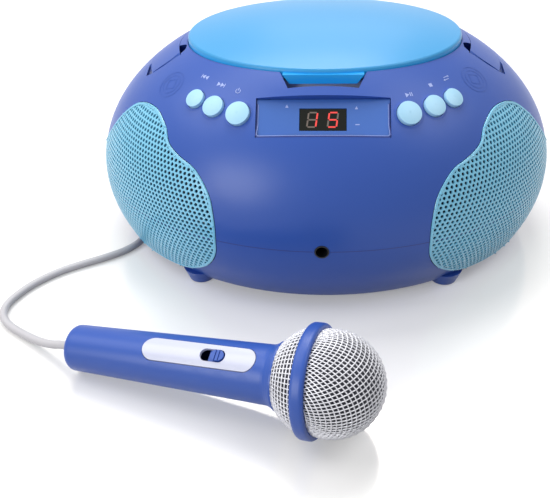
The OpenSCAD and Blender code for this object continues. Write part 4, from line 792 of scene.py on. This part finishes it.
# Flat square weave, pressed over a ball: each wire runs over and under the ones that it meets.
# The wires are as coarse as the photograph shows them
bpy.ops.mesh.primitive_grid_add(x_subdivisions=48, y_subdivisions=48, size=48 * wire_pitch)
ball = bpy.context.object
ball.name = "mic_basket"
cut_turn = math.acos((ring_half - head_reach) / head_r)
weave_mesh = bmesh.new()
weave_mesh.from_mesh(ball.data)
far = [face for face in weave_mesh.faces
       if face.calc_center_median().length > head_r * cut_turn + wire_pitch]
bmesh.ops.delete(weave_mesh, geom=far, context="FACES")
for point in weave_mesh.verts:
    weave = 1 if (round(point.co.x / wire_pitch) + round(point.co.y / wire_pitch)) % 2 else -1
    turn, around = point.co.length / head_r, math.atan2(point.co.y, point.co.x)
    reach = head_r - wire_in + weave * wave
    point.co = (reach * math.sin(turn) * math.cos(around),
                reach * math.sin(turn) * math.sin(around), head_reach + reach * math.cos(turn))
everything = weave_mesh.verts[:] + weave_mesh.edges[:] + weave_mesh.faces[:]
bmesh.ops.bisect_plane(weave_mesh, geom=everything, plane_co=(0, 0, ring_half - 0.0008),
                       plane_no=(0, 0, -1), clear_outer=True)
weave_mesh.to_mesh(ball.data)
weave_mesh.free()
ball.data.transform(mic_frame)
applied(ball, "WIREFRAME", thickness=wire_d, use_even_offset=False, use_boundary=True)

# The band below the ring: its curve is an arc from the handle's neck to the ring, both given by
# their radius and their place along the handle
neck, brim = Vector((0.0165, -0.0156)), Vector((0.0252, -0.0026))
arc_z = (neck.dot(neck) - brim.dot(brim)) / (2 * (neck[1] - brim[1]))
arc_r = (brim - Vector((0, arc_z))).length
rows, wires = 7, 68


def band_radius(z):
    """Radius of the band's curve at a place along the handle."""
    return math.sqrt(max(arc_r ** 2 - (z - arc_z) ** 2, 0))


def mic_circle(z, radii):
    """Points round the handle's axis at one place along it, given each one's radius."""
    turns = [2 * math.pi * j / len(radii) for j in range(len(radii))]
    return [mic_frame @ Vector((r * math.cos(a), r * math.sin(a), z)) for r, a in zip(radii, turns)]


heights = [neck[1] + (brim[1] - neck[1]) * k / rows for k in range(rows + 1)]
band = skin_between("mic_basket_band", [
    mic_circle(z, [band_radius(z) - wire_in + (wave if (k + j) % 2 else -wave) for j in range(wires)])
    for k, z in enumerate(heights)])
turned_outward(band, mic_frame @ Vector((0, 0, -0.01)))
applied(band, "WIREFRAME", thickness=wire_d, use_even_offset=False, use_boundary=True)

# The ring that clamps both baskets, with its edges rounded over
half_section = [(ring_r, 0.0012), (ring_r - 0.0001, ring_half - 0.0010),
                (ring_r - 0.0005, ring_half - 0.0003), (ring_r - 0.0012, ring_half),
                (ring_inner, ring_half - 0.0002)]
section = half_section + [(r, -z) for r, z in reversed(half_section)] + half_section[:1]
ring = skin_between("mic_ring_band", [mic_circle(z, [r] * 128) for r, z in section])
turned_outward(ring, mic_frame @ Vector((0, 0, 0)))
lay_on(ring, case_plastic)
bpy.ops.object.shade_smooth_by_angle(angle=math.radians(40))
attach(ring, "console")
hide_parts("mic_ring")

bpy.ops.mesh.primitive_uv_sphere_add(segments=64, ring_count=32, radius=head_r - liner_in)
liner = bpy.context.object
liner.name = "mic_foam_liner"
for point in liner.data.vertices:
    x, y, z = point.co
    z += head_reach
    if z < 0:
        z = max(z, neck[1])
        limit, reach = band_radius(z) - liner_in, math.hypot(x, y)
        if reach > 1e-6:
            x, y = x * limit / reach, y * limit / reach
    point.co = (x, y, z)
liner.data.transform(mic_frame)
for piece, finish in ((ball, wire), (band, wire), (liner, foam)):
    only(piece)
    bpy.ops.object.shade_smooth()
    lay_on(piece, finish)
    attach(piece, "console")
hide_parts("mic_head")

# The plug's PVC grip: dark grey, with a fine matt grain
plug_grip = moulded("moulded_pvc_grip", "#26272B", "#2E2F34", 0.5, grain=0.0008, depth=0.00005)
lay_on(nodes["mic_plug"], plug_grip)


# ---- Microphone socket and feet
# A round nylon socket held in the parting line by both halves of the case, and four rubber
# feet pressed into the floor. The deck's dampers are of the same rubber.

# Moulded nylon: black, with a low sheen round the socket's mouth
socket_black = moulded("socket_nylon", "#101216", "#181A1E", 0.35)
# Nitrile rubber: a dusty, matt near-black
foot_rubber = moulded("nitrile_rubber", "#202126", "#292A30", 0.7, grain=0.0010, depth=0.00004)
lay_on(nodes["mic_socket"], socket_black)
lay_on(nodes["rubber_feet"], foot_rubber)
lay_on(nodes["chassis_dampers"], foot_rubber)


# ---- Disc deck, mechanism and what lies in the case
# The deck and its mechanism show when the lid is up. The boards, the transformer and the
# screws show only through openings.

# Satin ABS: an even silver grey with broad, dull highlights
deck_plastic = moulded("satin_abs_silver_grey", "#C9CDD6", "#BEC3CE", 0.4)
# Glass-filled nylon: near-black and slightly rough from its fibres
mech_black = moulded("glass_filled_nylon", "#1B1C20", "#232429", 0.55, grain=0.0005, depth=0.00003)
# Natural acetal: milky white and waxy
gear_pom = moulded("natural_acetal", "#E9E8E0", "#DFDED4", 0.35)
# Solder-masked laminate: green, with the shade of its copper areas
fibre_board = moulded("solder_masked_laminate", "#2E6B48", "#275C3D", 0.35, patch=0.01)
# Coated lens: a clear glint with a pale blue cast
lens_coating = moulded("coated_optical_lens", "#8FA6D8", "#9DB4E0", 0.05, ior=1.6)
lay_on(nodes["disc_deck"], deck_plastic)
for name in ("turntable", "optical_sled", "power_inlet", "display_module"):
    lay_on(nodes[name], mech_black)
for name in ("sled_gear", "motor_pinion"):
    lay_on(nodes[name], gear_pom)
for name in ("main_board", "control_board_left", "control_board_right"):
    lay_on(nodes[name], fibre_board)
for name in ("mech_chassis", "spindle_motor", "guide_rods", "sled_motor", "transformer",
             "case_screws", "battery_contacts", "lid_hinge_pins", "handle_pins"):
    lay_on(nodes[name], zinc_plate)
lay_on(nodes["pickup_lens"], lens_coating)

bpy.ops.object.select_all(action="DESELECT")
